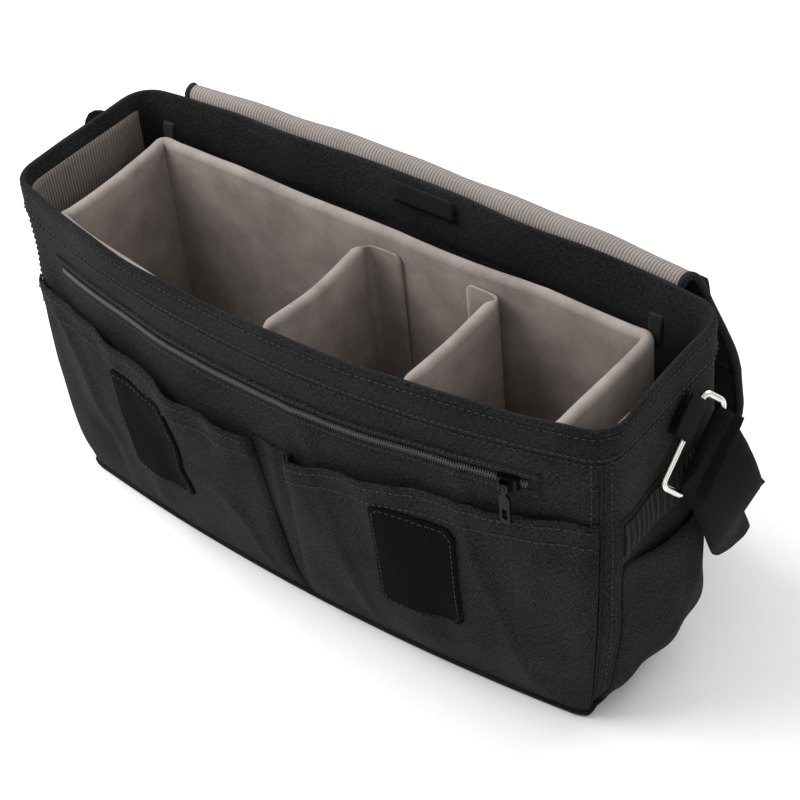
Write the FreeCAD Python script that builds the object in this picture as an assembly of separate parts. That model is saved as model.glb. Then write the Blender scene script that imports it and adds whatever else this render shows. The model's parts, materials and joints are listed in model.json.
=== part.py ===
"""Messenger-style camera bag, open, with its flap thrown back and a padded insert with two dividers.

Units are millimetres.  X runs along the bag, +Y is the back, +Z is up.  The origin is the centre of
the base, on the surface that the bag stands on.
"""
import FreeCAD, Part  # noqa: E401
import math
import os

V = FreeCAD.Vector
X, Y, Z = V(1, 0, 0), V(0, 1, 0), V(0, 0, 1)

# ---- driving dimensions ------------------------------------------------------------------------------
WIDTH = 420.0            # outer width at the mouth
DEPTH = 118.0            # outer depth at the two ends
HEIGHT = 232.0           # base to rim
CORNER_R = 18.0          # plan radius of the four corners
FRONT_BOW = 28.0         # how far the front swells forward at the middle of the mouth
BASE_BOW = 12.0          # and at the middle of the base
BACK_BOW = 8.0           # how far the back swells
SHELL_T = 3.0            # canvas over thin foam
LINING_T = 1.0
RIM_HEIGHT = 24.0        # folded canvas band round the mouth
RIM_IN, RIM_OUT = 5.0, 1.2
BASE_T = 3.0
STIFFENER_T = 2.0
PIPING = 2.2

POCKET_DEPTH = 11.0      # front pocket, from the front panel to its outer face
POCKET_T = 1.5
POCKET_TOP = HEIGHT - 78.0
POCKET_BASE = BASE_T + 3.0
PLEAT_HALF = 9.0         # half the gap between the two front pockets
PLEAT_T, PLEAT_GAP = 3.0, 0.2
PATCH_W, PATCH_H, PATCH_T = 54.0, 82.0, 1.2
PATCH_X, PATCH_Z = 100.0, 96.0

SIDE_POCKET_TOP = 122.0
SIDE_POCKET_DEPTH = 13.0
SIDE_POCKET_HALF = 37.0
SIDE_POCKET_BASE = 8.0
SIDE_POCKET_EDGE = 5.0   # depth of the pouch at its front and back edges
ELASTIC_Z = (132.0, 158.0)
ELASTIC_HALF = 35.0

ZIP_Z = HEIGHT - 49.0
ZIP_TAPE_W, ZIP_TAPE_T = 13.0, 0.6
ZIP_END = 168.0          # half length of the zip chain
COIL_HALF, COIL_T = 2.0, 1.2
TAPE_TAIL = 6.0          # tape beyond each end of the chain
SLIDER_L, SLIDER_W, SLIDER_T = 11.0, 8.0, 3.2
SLIDER_LIFT = 1.5        # from the tape to the slider's body
SLIDER_INSET = 4.0       # from the end of the chain
BAIL_OUT, BAIL_HALF = 3.4, 2.6
BAIL_SPAN = (1.8, 3.2)   # each side of the slider's middle
PIN_R, PIN_DROP = 0.7, 2.1
PULL_L, PULL_W, PULL_T = 20.0, 6.6, 1.4
EYE_R, EYE_BORE, EYE_HALF = 1.5, 0.75, 1.5
STEM_L = 7.0

INSERT_WALL = 8.0
INSERT_GAP = 1.0         # between the insert and the bag's lining
INSERT_X = (-178.0, 180.0)
INSERT_BACK = 40.0       # outer face of the insert's back wall; the laptop slot is behind it
INSERT_TOP = 216.0
INSERT_FLOOR_T = 8.0
DIVIDER_X = (-10.0, 84.0)
DIVIDER_T = 7.0
DIVIDER_TOP = 208.0
DIVIDER_GAP = 1.4        # between a divider and the insert's walls
DIVIDER_TAB_DROP = 4.0
TAB_L, TAB_T = 24.0, 1.6

FLAP_T = 4.0
HINGE_Y, HINGE_Z = 79.0, HEIGHT - 2.0
FOLD_OFFSET = 7.0        # from the crest's fold line to the middle of the upper flap, on the bag's side
FLAP_LEAN = 10.0         # degrees that the hanging flap leans out at the crest
UPPER_EDGE = [(4, 178), (60, 203), (110, 200), (177, 174)]   # (distance down the flap, half width)
FLAP_TOP_L, FLAP_FRONT_L, FLAP_HEM_L = 181.0, 44.0, 102.0
FRONT_HALF = (173.0, 162.0)
HEM_HALF = (161.0, 152.0)
HEM_CORNER_R = 64.0
HEM_OFFSET = 4.0         # from the hem's fold line to the middle of either layer
HOOK_SPAN, HOOK_HALF = (50.0, 90.0), 20.0                    # along the hem, and half their width
CREST_T = 1.6
EAR_SPAN, EAR_X, EAR_T = (10.0, 58.0), (140.0, 176.0), 1.6

WEB_W, WEB_T = 48.0, 2.4
LOOP_T = 1.6             # webbing folded round a bar
END_TAIL = 9.0
ELASTIC_T = 1.6
LABEL_X, LABEL_Z, LABEL_T = (-14.0, 30.0), (HEIGHT - 18.0, HEIGHT - 4.0), 0.8
PANEL_X, PANEL_Z, PANEL_T = 130.0, (40.0, HEIGHT - 54.0), 1.6
RING_L, RING_W, WIRE_R = 58.0, 20.0, 2.0
RING_TILT = 40.0         # slope of the ring's long bars in the side plane
TAB_TAIL = 15.0           # length of the webbing tab above its ring
RING_HANG = 25.0         # degrees that the ring stands out from the side
RING_X, RING_Y, RING_Z = WIDTH / 2 + 4.2, 8.0, HEIGHT - 52.0

SOLE = BASE_T + STIFFENER_T
XA = WIDTH / 2 - CORNER_R
OUT = "parts"


# ---- outline helpers ---------------------------------------------------------------------------------
def front_bow(z):
    """The front swells less towards the base."""
    return BASE_BOW + (FRONT_BOW - BASE_BOW) * z / HEIGHT


def front_y(offset, x, z):
    """Y of the bowed front at a given inward offset, at x along the bag and height z."""
    return arc_y(-DEPTH / 2 + offset, -front_bow(z), x)


def back_y(offset, x=0.0):
    return arc_y(DEPTH / 2 - offset, BACK_BOW, x)


def arc_y(end_y, bow, x):
    """Y on the circle through (+-XA, end_y) and (0, end_y + bow)."""
    radius = (XA ** 2 + bow ** 2) / (2 * abs(bow))
    sign = 1 if bow > 0 else -1
    return end_y + bow - sign * (radius - math.sqrt(radius ** 2 - x ** 2))


def arc(a, mid, b):
    return Part.Arc(a, mid, b).toShape()


def line(a, b):
    return Part.LineSegment(a, b).toShape()


def prism(edges, z0, z1):
    """Closed wire in the XY plane, extruded from z0 to z1."""
    face = Part.Face(Part.Wire(edges))
    face.translate(Z * z0)
    return face.extrude(Z * (z1 - z0))


def bowed_wire(side, outer, inner, z):
    """Outline of a whole front or back wall between two offsets, at height z."""
    if side == "front":
        ya, yb = front_y(outer, 0, z), front_y(inner, 0, z)
        ends = -DEPTH / 2 + outer, -DEPTH / 2 + inner
    else:
        ya, yb = back_y(outer), back_y(inner)
        ends = DEPTH / 2 - outer, DEPTH / 2 - inner
    a, b = V(-XA, ends[0], z), V(XA, ends[0], z)
    c, d = V(XA, ends[1], z), V(-XA, ends[1], z)
    return Part.Wire([arc(a, V(0, ya, z), b), line(b, c), arc(c, V(0, yb, z), d), line(d, a)])


def bowed_slab(side, x0, x1, outer, inner, z0, z1):
    """Slab between two offsets of the front or back wall, from x0 to x1."""
    wires = [bowed_wire(side, outer, inner, z) for z in (0.0, HEIGHT)]
    wall = Part.makeLoft(wires, True, True)
    if (x0, x1, z0, z1) == (-XA, XA, 0.0, HEIGHT):
        return wall
    return wall.common(box(x0, x1, -DEPTH * 2, DEPTH * 2, z0, z1))


def side_points(offset):
    """Outline of one end at an inward offset: corner arc, straight, corner arc, for the +X end."""
    r = CORNER_R - offset
    cx, cy = XA, DEPTH / 2 - CORNER_R
    k = r * math.sqrt(0.5)
    return [V(cx, -cy - r, 0), V(cx + k, -cy - k, 0), V(cx + r, -cy, 0),
            V(cx + r, cy, 0), V(cx + k, cy + k, 0), V(cx, cy + r, 0)]


def side_slab(sign, outer, inner, z0, z1):
    """The end wall with both of its corners, at x > 0 for sign +1."""
    a, b = side_points(outer), side_points(inner)
    edges = [arc(a[0], a[1], a[2]), line(a[2], a[3]), arc(a[3], a[4], a[5]), line(a[5], b[5]),
             arc(b[5], b[4], b[3]), line(b[3], b[2]), arc(b[2], b[1], b[0]), line(b[0], a[0])]
    solid = prism(edges, z0, z1)
    return solid if sign > 0 else solid.mirror(V(0, 0, 0), X)


def full_outline(offset):
    """Edges of the whole plan outline at an inward offset."""
    p = side_points(offset)
    m = [V(-q.x, q.y, 0) for q in p]
    return [arc(m[0], V(0, front_y(offset, 0, 0), 0), p[0]), arc(p[0], p[1], p[2]), line(p[2], p[3]),
            arc(p[3], p[4], p[5]), arc(p[5], V(0, back_y(offset), 0), m[5]), arc(m[5], m[4], m[3]),
            line(m[3], m[2]), arc(m[2], m[1], m[0])]


def plate(offset, z0, z1):
    return prism(full_outline(offset), z0, z1)


def ring_band(outer, inner, z0, z1):
    return plate(outer, z0, z1).cut(plate(inner, z0 - 1, z1 + 1))


def box(x0, x1, y0, y1, z0, z1):
    return Part.makeBox(x1 - x0, y1 - y0, z1 - z0, V(x0, y0, z0))


def slab_outline(points, direction):
    """Closed polygon extruded along a direction."""
    edges = [line(points[i], points[(i + 1) % len(points)]) for i in range(len(points))]
    return Part.Face(Part.Wire(edges)).extrude(direction)


def ribbon(path, thickness, y0, y1):
    """Band of even thickness that follows a path of (x, z) points, extruded along Y."""
    left, right = [], []
    for i, (x, z) in enumerate(path):
        ax, az = path[max(i - 1, 0)]
        bx, bz = path[min(i + 1, len(path) - 1)]
        length = math.hypot(bx - ax, bz - az)
        nx, nz = -(bz - az) / length, (bx - ax) / length
        left.append(V(x + nx * thickness / 2, y0, z + nz * thickness / 2))
        right.append(V(x - nx * thickness / 2, y0, z - nz * thickness / 2))
    return slab_outline(left + right[::-1], Y * (y1 - y0))


def save(name, *solids):
    shape = solids[0] if len(solids) == 1 else Part.makeCompound(list(solids))
    if not shape.isValid():
        raise ValueError(f"{name} is not valid")
    shape.exportStep(os.path.join(OUT, name + ".step"))
    print(f"{name}: {len(shape.Solids)} solid(s), {shape.Volume / 1000:.2f} cm3")


# ---- shell -------------------------------------------------------------------------------------------
def shell():
    top = HEIGHT - RIM_HEIGHT
    save("front_panel", bowed_slab("front", -XA, XA, 0, SHELL_T, BASE_T, top))
    save("back_panel", bowed_slab("back", -XA, XA, 0, SHELL_T, BASE_T, top))
    save("left_gusset", side_slab(-1, 0, SHELL_T, BASE_T, top))
    save("right_gusset", side_slab(1, 0, SHELL_T, BASE_T, top))
    save("base_panel", plate(0, 0, BASE_T))
    save("base_stiffener", plate(SHELL_T + LINING_T + 0.2, BASE_T, SOLE))
    save("rim_front", bowed_slab("front", -XA, XA, -RIM_OUT, RIM_IN, top, HEIGHT))
    save("rim_back", bowed_slab("back", -XA, XA, -RIM_OUT, RIM_IN, top, HEIGHT))
    save("rim_left", side_slab(-1, -RIM_OUT, RIM_IN, top, HEIGHT))
    save("rim_right", side_slab(1, -RIM_OUT, RIM_IN, top, HEIGHT))
    save("base_piping", ring_band(-PIPING, 0, 0.6, BASE_T))
    inner = SHELL_T + LINING_T
    save("front_lining", bowed_slab("front", -XA, XA, SHELL_T, inner, BASE_T, top))
    save("back_lining", bowed_slab("back", -XA, XA, SHELL_T, inner, BASE_T, top))
    save("left_lining", side_slab(-1, SHELL_T, inner, BASE_T, top))
    save("right_lining", side_slab(1, SHELL_T, inner, BASE_T, top))
    save("back_label", bowed_slab("back", *LABEL_X, RIM_IN, RIM_IN + LABEL_T, *LABEL_Z))
    save("rear_reinforcement", bowed_slab("back", -PANEL_X, PANEL_X, -PANEL_T, 0, *PANEL_Z))


# ---- front pockets -----------------------------------------------------------------------------------
def front_pocket(x0, x1):
    """Flat pouch: an outer wall, with its two sides and floor closed against the front panel."""
    wall = bowed_slab("front", x0, x1, -POCKET_DEPTH, -POCKET_DEPTH + POCKET_T, POCKET_BASE, POCKET_TOP)
    left = bowed_slab("front", x0, x0 + POCKET_T, -POCKET_DEPTH + POCKET_T, 0, POCKET_BASE, POCKET_TOP)
    right = bowed_slab("front", x1 - POCKET_T, x1, -POCKET_DEPTH + POCKET_T, 0, POCKET_BASE, POCKET_TOP)
    floor = bowed_slab("front", x0 + POCKET_T, x1 - POCKET_T, -POCKET_DEPTH + POCKET_T, 0, POCKET_BASE,
                       POCKET_BASE + POCKET_T)
    return wall.fuse([left, right, floor]).removeSplitter()


def front():
    save("left_front_pocket", front_pocket(-XA, -PLEAT_HALF))
    save("right_front_pocket", front_pocket(PLEAT_HALF, XA))
    half = PLEAT_HALF - PLEAT_GAP
    save("pocket_pleat", bowed_slab("front", -half, half, -PLEAT_T, 0, POCKET_BASE, POCKET_TOP))
    for side, sign in (("left", -1), ("right", 1)):
        mid = sign * PATCH_X
        save(f"{side}_loop_patch", bowed_slab("front", mid - PATCH_W / 2, mid + PATCH_W / 2,
                                              -POCKET_DEPTH - PATCH_T, -POCKET_DEPTH,
                                              PATCH_Z - PATCH_H / 2, PATCH_Z + PATCH_H / 2))


# ---- front zip ---------------------------------------------------------------------------------------
def zip_parts():
    half, end = ZIP_TAPE_W / 2, ZIP_END + TAPE_TAIL
    save("zip_tape", bowed_slab("front", -end, end, -ZIP_TAPE_T, 0, ZIP_Z - half, ZIP_Z + half))
    save("zip_coil", bowed_slab("front", -ZIP_END, ZIP_END, -ZIP_TAPE_T - COIL_T, -ZIP_TAPE_T,
                                ZIP_Z - COIL_HALF, ZIP_Z + COIL_HALF))
    # The slider rides just clear of the coil, at the right end.
    x0 = ZIP_END - SLIDER_L - SLIDER_INSET
    face = -ZIP_TAPE_T - SLIDER_LIFT
    slider = bowed_slab("front", x0, x0 + SLIDER_L, face - SLIDER_T, face, ZIP_Z - SLIDER_W / 2,
                        ZIP_Z + SLIDER_W / 2)
    xm = x0 + SLIDER_L / 2
    ym = front_y(face - SLIDER_T, xm, ZIP_Z)
    near, far = BAIL_SPAN
    bails = [box(xm + a, xm + b, ym - BAIL_OUT, ym + 0.8, ZIP_Z - BAIL_HALF, ZIP_Z + BAIL_HALF)
             for a, b in ((-far, -near), (near, far))]
    pin = Part.makeCylinder(PIN_R, 2 * far, V(xm - far, ym - PIN_DROP, ZIP_Z), X)
    save("zip_slider", slider.fuse(bails + [pin]).removeSplitter())
    save("zip_puller", puller(xm, ym - PIN_DROP))


def puller(xm, y):
    """Leaf that hangs from the slider's pin; its eye has running clearance."""
    eye = Part.makeCylinder(EYE_R, 2 * EYE_HALF, V(xm - EYE_HALF, y, ZIP_Z), X)
    stem = box(xm - EYE_HALF, xm + EYE_HALF, y - PULL_T / 2, y + PULL_T / 2, ZIP_Z - STEM_L, ZIP_Z)
    top = ZIP_Z - STEM_L + 1
    leaf = round_leaf(xm, y - PULL_T / 2, top - PULL_L, top)
    hole = Part.makeCylinder(EYE_BORE, 8, V(xm - 4, y, ZIP_Z), X)
    return eye.fuse([stem, leaf]).cut(hole).removeSplitter()


def round_leaf(xm, y, z0, z1):
    leaf = box(xm - PULL_W / 2, xm + PULL_W / 2, y, y + PULL_T, z0, z1)
    edges = [e for e in leaf.Edges if abs(abs(e.tangentAt(e.FirstParameter).y) - 1) < 1e-6]
    leaf = leaf.makeFillet(2.0, edges)
    slot = box(xm - 1.6, xm + 1.6, y - 1, y + PULL_T + 1, z0 + 3, z0 + 10)
    return leaf.cut(slot)


# ---- side pockets, strap tabs, rings -----------------------------------------------------------------
def side_pocket(sign):
    """Bulged pouch on one end, open at the top."""
    pouch = prism(pouch_outline(0), SIDE_POCKET_BASE, SIDE_POCKET_TOP)
    pouch = pouch.cut(prism(pouch_outline(POCKET_T), SIDE_POCKET_BASE + POCKET_T, SIDE_POCKET_TOP + 1))
    return pouch if sign > 0 else pouch.mirror(V(0, 0, 0), X)


def pouch_outline(inset):
    """Plan outline of the side pocket, drawn in by an inset on its three free sides."""
    y = SIDE_POCKET_HALF - inset
    x0 = WIDTH / 2
    edge, crown = x0 + SIDE_POCKET_EDGE - inset, x0 + SIDE_POCKET_DEPTH - inset
    return [line(V(x0, -y, 0), V(edge, -y, 0)), arc(V(edge, -y, 0), V(crown, 0, 0), V(edge, y, 0)),
            line(V(edge, y, 0), V(x0, y, 0)), line(V(x0, y, 0), V(x0, -y, 0))]


def place_ring(shape, sign):
    """From the ring's own frame (hinge bar along Y at the origin, +X out of the bag) to its place."""
    shape = shape.copy()
    shape.rotate(V(0, 0, 0), X, RING_TILT)
    shape.translate(V(RING_X, RING_Y, RING_Z))
    return shape if sign > 0 else shape.mirror(V(0, 0, 0), X)


def ring_solid():
    """Rectangular wire ring with rounded corners, hanging from its hinge bar."""
    half, reach, r = RING_L / 2 - WIRE_R, RING_W - 2 * WIRE_R, 4.0
    corners = [V(0, -half, 0), V(0, half, 0), V(0, half, -reach), V(0, -half, -reach)]
    edges = []
    for i in range(4):
        a, b, c = corners[i - 1], corners[i], corners[(i + 1) % 4]
        u, w = (a - b).normalize() * r, (c - b).normalize() * r
        mid = b + (u + w) * (1 - math.sqrt(0.5))
        edges.append((b + u, mid, b + w))
    wire = []
    for i in range(4):
        p, m, q = edges[i]
        wire.append(arc(p, m, q))
        wire.append(line(q, edges[(i + 1) % 4][0]))
    path = Part.Wire(wire)
    start = wire[1].Vertexes[0].Point
    direction = (wire[1].Vertexes[-1].Point - start).normalize()
    profile = Part.Wire([Part.Circle(start, direction, WIRE_R).toShape()])
    ring = Part.Wire(path).makePipeShell([profile], True, True)
    solid = ring if isinstance(ring, Part.Solid) else Part.Solid(ring)
    solid.rotate(V(0, 0, 0), Y, -RING_HANG)
    return solid


def web_loop(radius_in, tail, down):
    """Webbing folded round a bar at the origin, with a double tail leading up or down."""
    outer, inner = radius_in + LOOP_T, radius_in
    height = tail if not down else -tail
    tube = Part.makeCylinder(outer, WEB_W, V(0, -WEB_W / 2, 0), Y)
    lo, hi = sorted((0.0, height))
    legs = box(-outer, outer, -WEB_W / 2, WEB_W / 2, lo, hi)
    hole = Part.makeCylinder(inner, WEB_W + 2, V(0, -WEB_W / 2 - 1, 0), Y)
    return tube.fuse(legs).cut(hole).removeSplitter()


def carry():
    for side, sign in (("left", -1), ("right", 1)):
        save(f"{side}_side_pocket", side_pocket(sign))
        elastic = box(WIDTH / 2, WIDTH / 2 + ELASTIC_T, -ELASTIC_HALF, ELASTIC_HALF, *ELASTIC_Z)
        elastic = elastic if sign > 0 else elastic.mirror(V(0, 0, 0), X)
        ring = ring_solid()
        save(f"{side}_ring", place_ring(ring, sign))
        tab = web_loop(WIRE_R + 0.4, TAB_TAIL, False)
        save(f"{side}_strap_tab", place_ring(tab, sign))
        save(f"{side}_pocket_elastic", elastic)
        loop = web_loop(WIRE_R + 0.1, END_TAIL, True)
        loop.rotate(V(0, 0, 0), Y, -100)
        far = FreeCAD.Rotation(Y, -RING_HANG).multVec(V(0, 0, -(RING_W - 2 * WIRE_R)))
        loop.translate(far)
        save(f"{side}_strap_end", place_ring(loop, sign))


# ---- shoulder strap ----------------------------------------------------------------------------------
STRAP_DROP = [(22.5, -15), (27, -20), (30.5, -30), (31, -44), (28, -62), (20, -80), (8, -95), (-1, -103)]
STRAP_BACK = [(-204, 108), (-172, 54), (-136, 30), (0, 28), (136, 30), (172, 54), (204, 108)]
STRAP_BACK_Y = 76.0
GLIDE_Z = (-49.0, -27.0)
GLIDE_OUT, GLIDE_IN, GLIDE_BAR = 32.6, 26.8, 2.0


def flat_band(path, width, y):
    """Band with its flat side in the XZ plane, along a path of (x, z) points, WEB_T thick in Y."""
    band = ribbon(path, width, 0, WEB_T)
    band.translate(Y * y)
    return band


def glide():
    """Three-bar adjuster round the strap, in the ring's own frame."""
    half = WEB_W / 2
    z0, z1 = GLIDE_Z
    bars = [box(GLIDE_OUT, GLIDE_OUT + GLIDE_BAR, -half - 3, half + 3, z, z + 3) for z in (z0, z1 - 3)]
    mid = (z0 + z1) / 2
    bars.append(box(GLIDE_IN, GLIDE_IN + GLIDE_BAR, -half - 3, half + 3, mid - 1.5, mid + 1.5))
    rails = [box(GLIDE_IN, GLIDE_OUT + GLIDE_BAR, y, y + 2.5, z0, z1) for y in (-half - 3, half + 0.5)]
    return rails[0].fuse(rails[1:] + bars).removeSplitter()


def strap():
    drop = ribbon(STRAP_DROP, WEB_T, -WEB_W / 2, WEB_W / 2)
    save("strap_right_drop", place_ring(drop, 1))
    save("strap_left_drop", place_ring(drop, -1))
    save("strap_back_run", flat_band(STRAP_BACK, WEB_W, STRAP_BACK_Y))
    save("strap_adjuster", place_ring(glide(), -1))


# ---- flap --------------------------------------------------------------------------------------------
def flap_panel(edge_points, corner=0.0):
    """Panel that runs down -Z, FLAP_T thick in Y, from its (distance, half width) points."""
    left = [V(-half, 0, -distance) for distance, half in edge_points]
    right = [V(half, 0, -distance) for distance, half in reversed(edge_points)]
    solid = slab_outline(left + right, Y * FLAP_T)
    solid.translate(Y * (-FLAP_T / 2))
    if corner:
        foot = -edge_points[-1][0]
        edges = [e for e in solid.Edges
                 if abs(e.tangentAt(e.FirstParameter).y) > 0.99 and e.CenterOfMass.z < foot + 1]
        solid = solid.makeFillet(corner, edges)
    return solid


def hang(shape, angle, y, z):
    """Turns a panel that runs down -Z by an angle towards +Y, then moves its root to (y, z)."""
    shape = shape.copy()
    shape.rotate(V(0, 0, 0), X, angle)
    shape.translate(V(0, y, z))
    return shape


def flap():
    lean = math.radians(FLAP_LEAN)
    root_y = HINGE_Y - FOLD_OFFSET * math.cos(lean)
    root_z = HINGE_Z - FOLD_OFFSET * math.sin(lean)
    down_y, down_z = math.sin(lean), -math.cos(lean)
    knee_y, knee_z = root_y + FLAP_TOP_L * down_y, root_z + FLAP_TOP_L * down_z
    save("flap_top", hang(flap_panel(UPPER_EDGE), FLAP_LEAN, root_y, root_z))
    front = flap_panel([(3, FRONT_HALF[0]), (FLAP_FRONT_L - 1, FRONT_HALF[1])])
    save("flap_front", hang(front, FLAP_LEAN, knee_y, knee_z))
    # The free end is doubled back up behind the flap; its lining faces the flap.
    hem_y = knee_y + FLAP_FRONT_L * down_y + 2 * HEM_OFFSET * math.cos(lean)
    hem_z = knee_z + FLAP_FRONT_L * down_z + 2 * HEM_OFFSET * math.sin(lean)
    hem_angle = 180 + FLAP_LEAN
    hem = flap_panel([(1, HEM_HALF[0]), (FLAP_HEM_L, HEM_HALF[1])], HEM_CORNER_R)
    save("flap_hem", hang(hem, hem_angle, hem_y, hem_z))
    flap_fittings(root_y, root_z, hem_angle, hem_y, hem_z)
    reach = UPPER_EDGE[0][1]
    crest = bowed_slab("back", -reach, reach, -RIM_OUT - CREST_T, -RIM_OUT, HEIGHT - RIM_HEIGHT, HINGE_Z)
    save("flap_crest", crest)


def flap_fittings(root_y, root_z, hem_angle, hem_y, hem_z):
    """Corner ears on the upper flap, and the hook patches near the free end."""
    for side, sign in (("left", -1), ("right", 1)):
        x0, x1 = sorted((sign * EAR_X[0], sign * EAR_X[1]))
        ear = box(x0, x1, FLAP_T / 2, FLAP_T / 2 + EAR_T, -EAR_SPAN[1], -EAR_SPAN[0])
        save(f"{side}_flap_ear", hang(ear, FLAP_LEAN, root_y, root_z))
        hook = box(sign * PATCH_X - HOOK_HALF, sign * PATCH_X + HOOK_HALF, FLAP_T / 2, FLAP_T / 2 + PATCH_T,
                   -HOOK_SPAN[1], -HOOK_SPAN[0])
        save(f"{side}_hook_patch", hang(hook, hem_angle, hem_y, hem_z))


# ---- padded insert -----------------------------------------------------------------------------------
def yz_slab(points, x0, x1):
    """Closed polygon of (y, z) points, extruded from x0 to x1."""
    return slab_outline([V(x0, y, z) for y, z in points], X * (x1 - x0))


def divider(name, x, sign, front_offset, z0):
    """Padded divider; each end has a thin tab folded along the insert's wall, towards sign."""
    z1 = DIVIDER_TOP - DIVIDER_TAB_DROP
    low, high = (front_y(front_offset, x, z) + DIVIDER_GAP for z in (z0, DIVIDER_TOP))
    tab_high = low + (high - low) * (z1 - z0) / (DIVIDER_TOP - z0)
    back = INSERT_BACK - INSERT_WALL - DIVIDER_GAP
    wall = yz_slab([(low + TAB_T, z0), (back - TAB_T, z0), (back - TAB_T, DIVIDER_TOP),
                    (high + TAB_T, DIVIDER_TOP)], x - DIVIDER_T / 2, x + DIVIDER_T / 2)
    xa, xb = sorted((x - sign * DIVIDER_T / 2, x + sign * TAB_L))
    back_tab = box(xa, xb, back - TAB_T, back, z0, z1)
    front_tab = yz_slab([(low, z0), (low + TAB_T, z0), (tab_high + TAB_T, z1), (tab_high, z1)],
                        x - DIVIDER_T / 2, x + DIVIDER_T / 2)
    save(f"{name}_divider", wall)
    save(f"{name}_divider_tabs", back_tab, front_tab)


def insert():
    x0, x1 = INSERT_X
    front_out = SHELL_T + LINING_T + INSERT_GAP + 1.2
    front_in = front_out + INSERT_WALL
    z0 = SOLE + 0.5
    zf = z0 + INSERT_FLOOR_T
    t = INSERT_WALL
    mid = (x0 + x1) / 2
    a, am, b = (V(x, front_y(front_out, x, z0), 0) for x in (x0, mid, x1))
    c, d = V(x1, INSERT_BACK, 0), V(x0, INSERT_BACK, 0)
    save("insert_front_wall", bowed_slab("front", x0, x1, front_out, front_in, zf, INSERT_TOP))
    save("insert_back_wall", box(x0, x1, INSERT_BACK - t, INSERT_BACK, zf, INSERT_TOP))
    save("insert_floor", prism([arc(a, am, b), line(b, c), line(c, d), line(d, a)], z0, zf))
    for side, xa, xb in (("left", x0, x0 + t), ("right", x1 - t, x1)):
        ends = [max(front_y(front_in, x, z) for x in (xa, xb)) + 0.2 for z in (zf, INSERT_TOP)]
        wall = yz_slab([(ends[0], zf), (INSERT_BACK - t, zf), (INSERT_BACK - t, INSERT_TOP),
                        (ends[1], INSERT_TOP)], xa, xb)
        save(f"insert_{side}_wall", wall)
        xc = (xa + xb) / 2
        save(f"insert_{side}_tab", box(xc - 4, xc + 4, INSERT_BACK, INSERT_BACK + 2, INSERT_TOP - 14,
                                       INSERT_TOP + 8))
    for name, x, sign in (("left", DIVIDER_X[0], 1), ("right", DIVIDER_X[1], -1)):
        divider(name, x, sign, front_in, zf + 0.6)


os.makedirs(OUT, exist_ok=True)
shell()
front()
zip_parts()
carry()
strap()
flap()
insert()
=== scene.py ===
import json
import math
import bmesh
import bpy
import numpy as np
from mathutils import Matrix, Vector


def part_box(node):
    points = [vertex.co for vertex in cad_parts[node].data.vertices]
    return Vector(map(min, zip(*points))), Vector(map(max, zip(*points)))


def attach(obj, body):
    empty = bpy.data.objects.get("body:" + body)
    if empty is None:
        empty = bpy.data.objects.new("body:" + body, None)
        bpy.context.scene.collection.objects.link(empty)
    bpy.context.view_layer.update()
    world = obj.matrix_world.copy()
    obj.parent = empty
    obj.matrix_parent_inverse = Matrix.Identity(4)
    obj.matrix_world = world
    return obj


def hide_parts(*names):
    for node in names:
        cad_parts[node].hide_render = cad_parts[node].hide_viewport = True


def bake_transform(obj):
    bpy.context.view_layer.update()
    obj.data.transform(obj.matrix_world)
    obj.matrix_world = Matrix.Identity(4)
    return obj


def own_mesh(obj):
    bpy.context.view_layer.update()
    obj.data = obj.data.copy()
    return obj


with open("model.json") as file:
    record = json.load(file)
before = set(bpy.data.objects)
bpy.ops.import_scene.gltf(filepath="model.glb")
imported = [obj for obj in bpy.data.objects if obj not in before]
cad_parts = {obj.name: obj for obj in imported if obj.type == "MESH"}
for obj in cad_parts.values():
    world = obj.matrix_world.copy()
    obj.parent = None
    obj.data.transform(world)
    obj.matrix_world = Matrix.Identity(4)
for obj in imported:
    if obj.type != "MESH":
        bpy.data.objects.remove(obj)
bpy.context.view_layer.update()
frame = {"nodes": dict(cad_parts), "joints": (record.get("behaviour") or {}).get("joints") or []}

MM = 0.001
PI = math.pi


# ---- sizes read from the frame ----
def low(node):
    return np.array(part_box(node)[0])


def high(node):
    return np.array(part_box(node)[1])


XA = high("front_panel")[0]
HALF_W = high("base_panel")[0]
HALF_D = high("left_gusset")[1]
CORNER = HALF_W - XA
BACK_BOW = high("back_panel")[1] - HALF_D
TOP = high("rim_front")[2]
RIM_LOW = low("rim_front")[2]
BASE_BOW = -low("base_panel")[1] - HALF_D
FRONT_BOW = BASE_BOW + (-low("front_panel")[1] - HALF_D - BASE_BOW) * TOP / RIM_LOW
ZIP_Z = (low("zip_coil")[2] + high("zip_coil")[2]) / 2
ZIP_END = high("zip_coil")[0]
POCKET_TOP = high("left_front_pocket")[2]
TAPER_TOP = 190 * MM
TAPER_LEFT, TAPER_RIGHT, TAPER_Y = 0.012, 0.052, 0.04


def waves(p, seed, size, count=7):
    """Smooth seeded unevenness, about -1 to 1, with features of the given size in metres."""
    rng = np.random.RandomState(seed)
    total = np.zeros(p.shape[:-1])
    for _ in range(count):
        d = rng.normal(size=p.shape[-1])
        d *= 2 * PI / (size * rng.uniform(0.7, 1.6) * np.linalg.norm(d))
        total += np.sin(p @ d + rng.uniform(0, 2 * PI))
    return total / math.sqrt(count) / 1.2


def step(a, b, x):
    t = np.clip((x - a) / (b - a), 0, 1)
    return t * t * (3 - 2 * t)


def run(p):
    """Distance along a polyline at each of its points."""
    return np.concatenate([[0], np.cumsum(np.linalg.norm(np.diff(p, axis=0), axis=1))])


def along(t, s, p):
    """Points at distances t along a polyline whose points p lie at distances s."""
    return np.stack([np.interp(t, s, p[:, k]) for k in range(p.shape[1])], -1)


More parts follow.
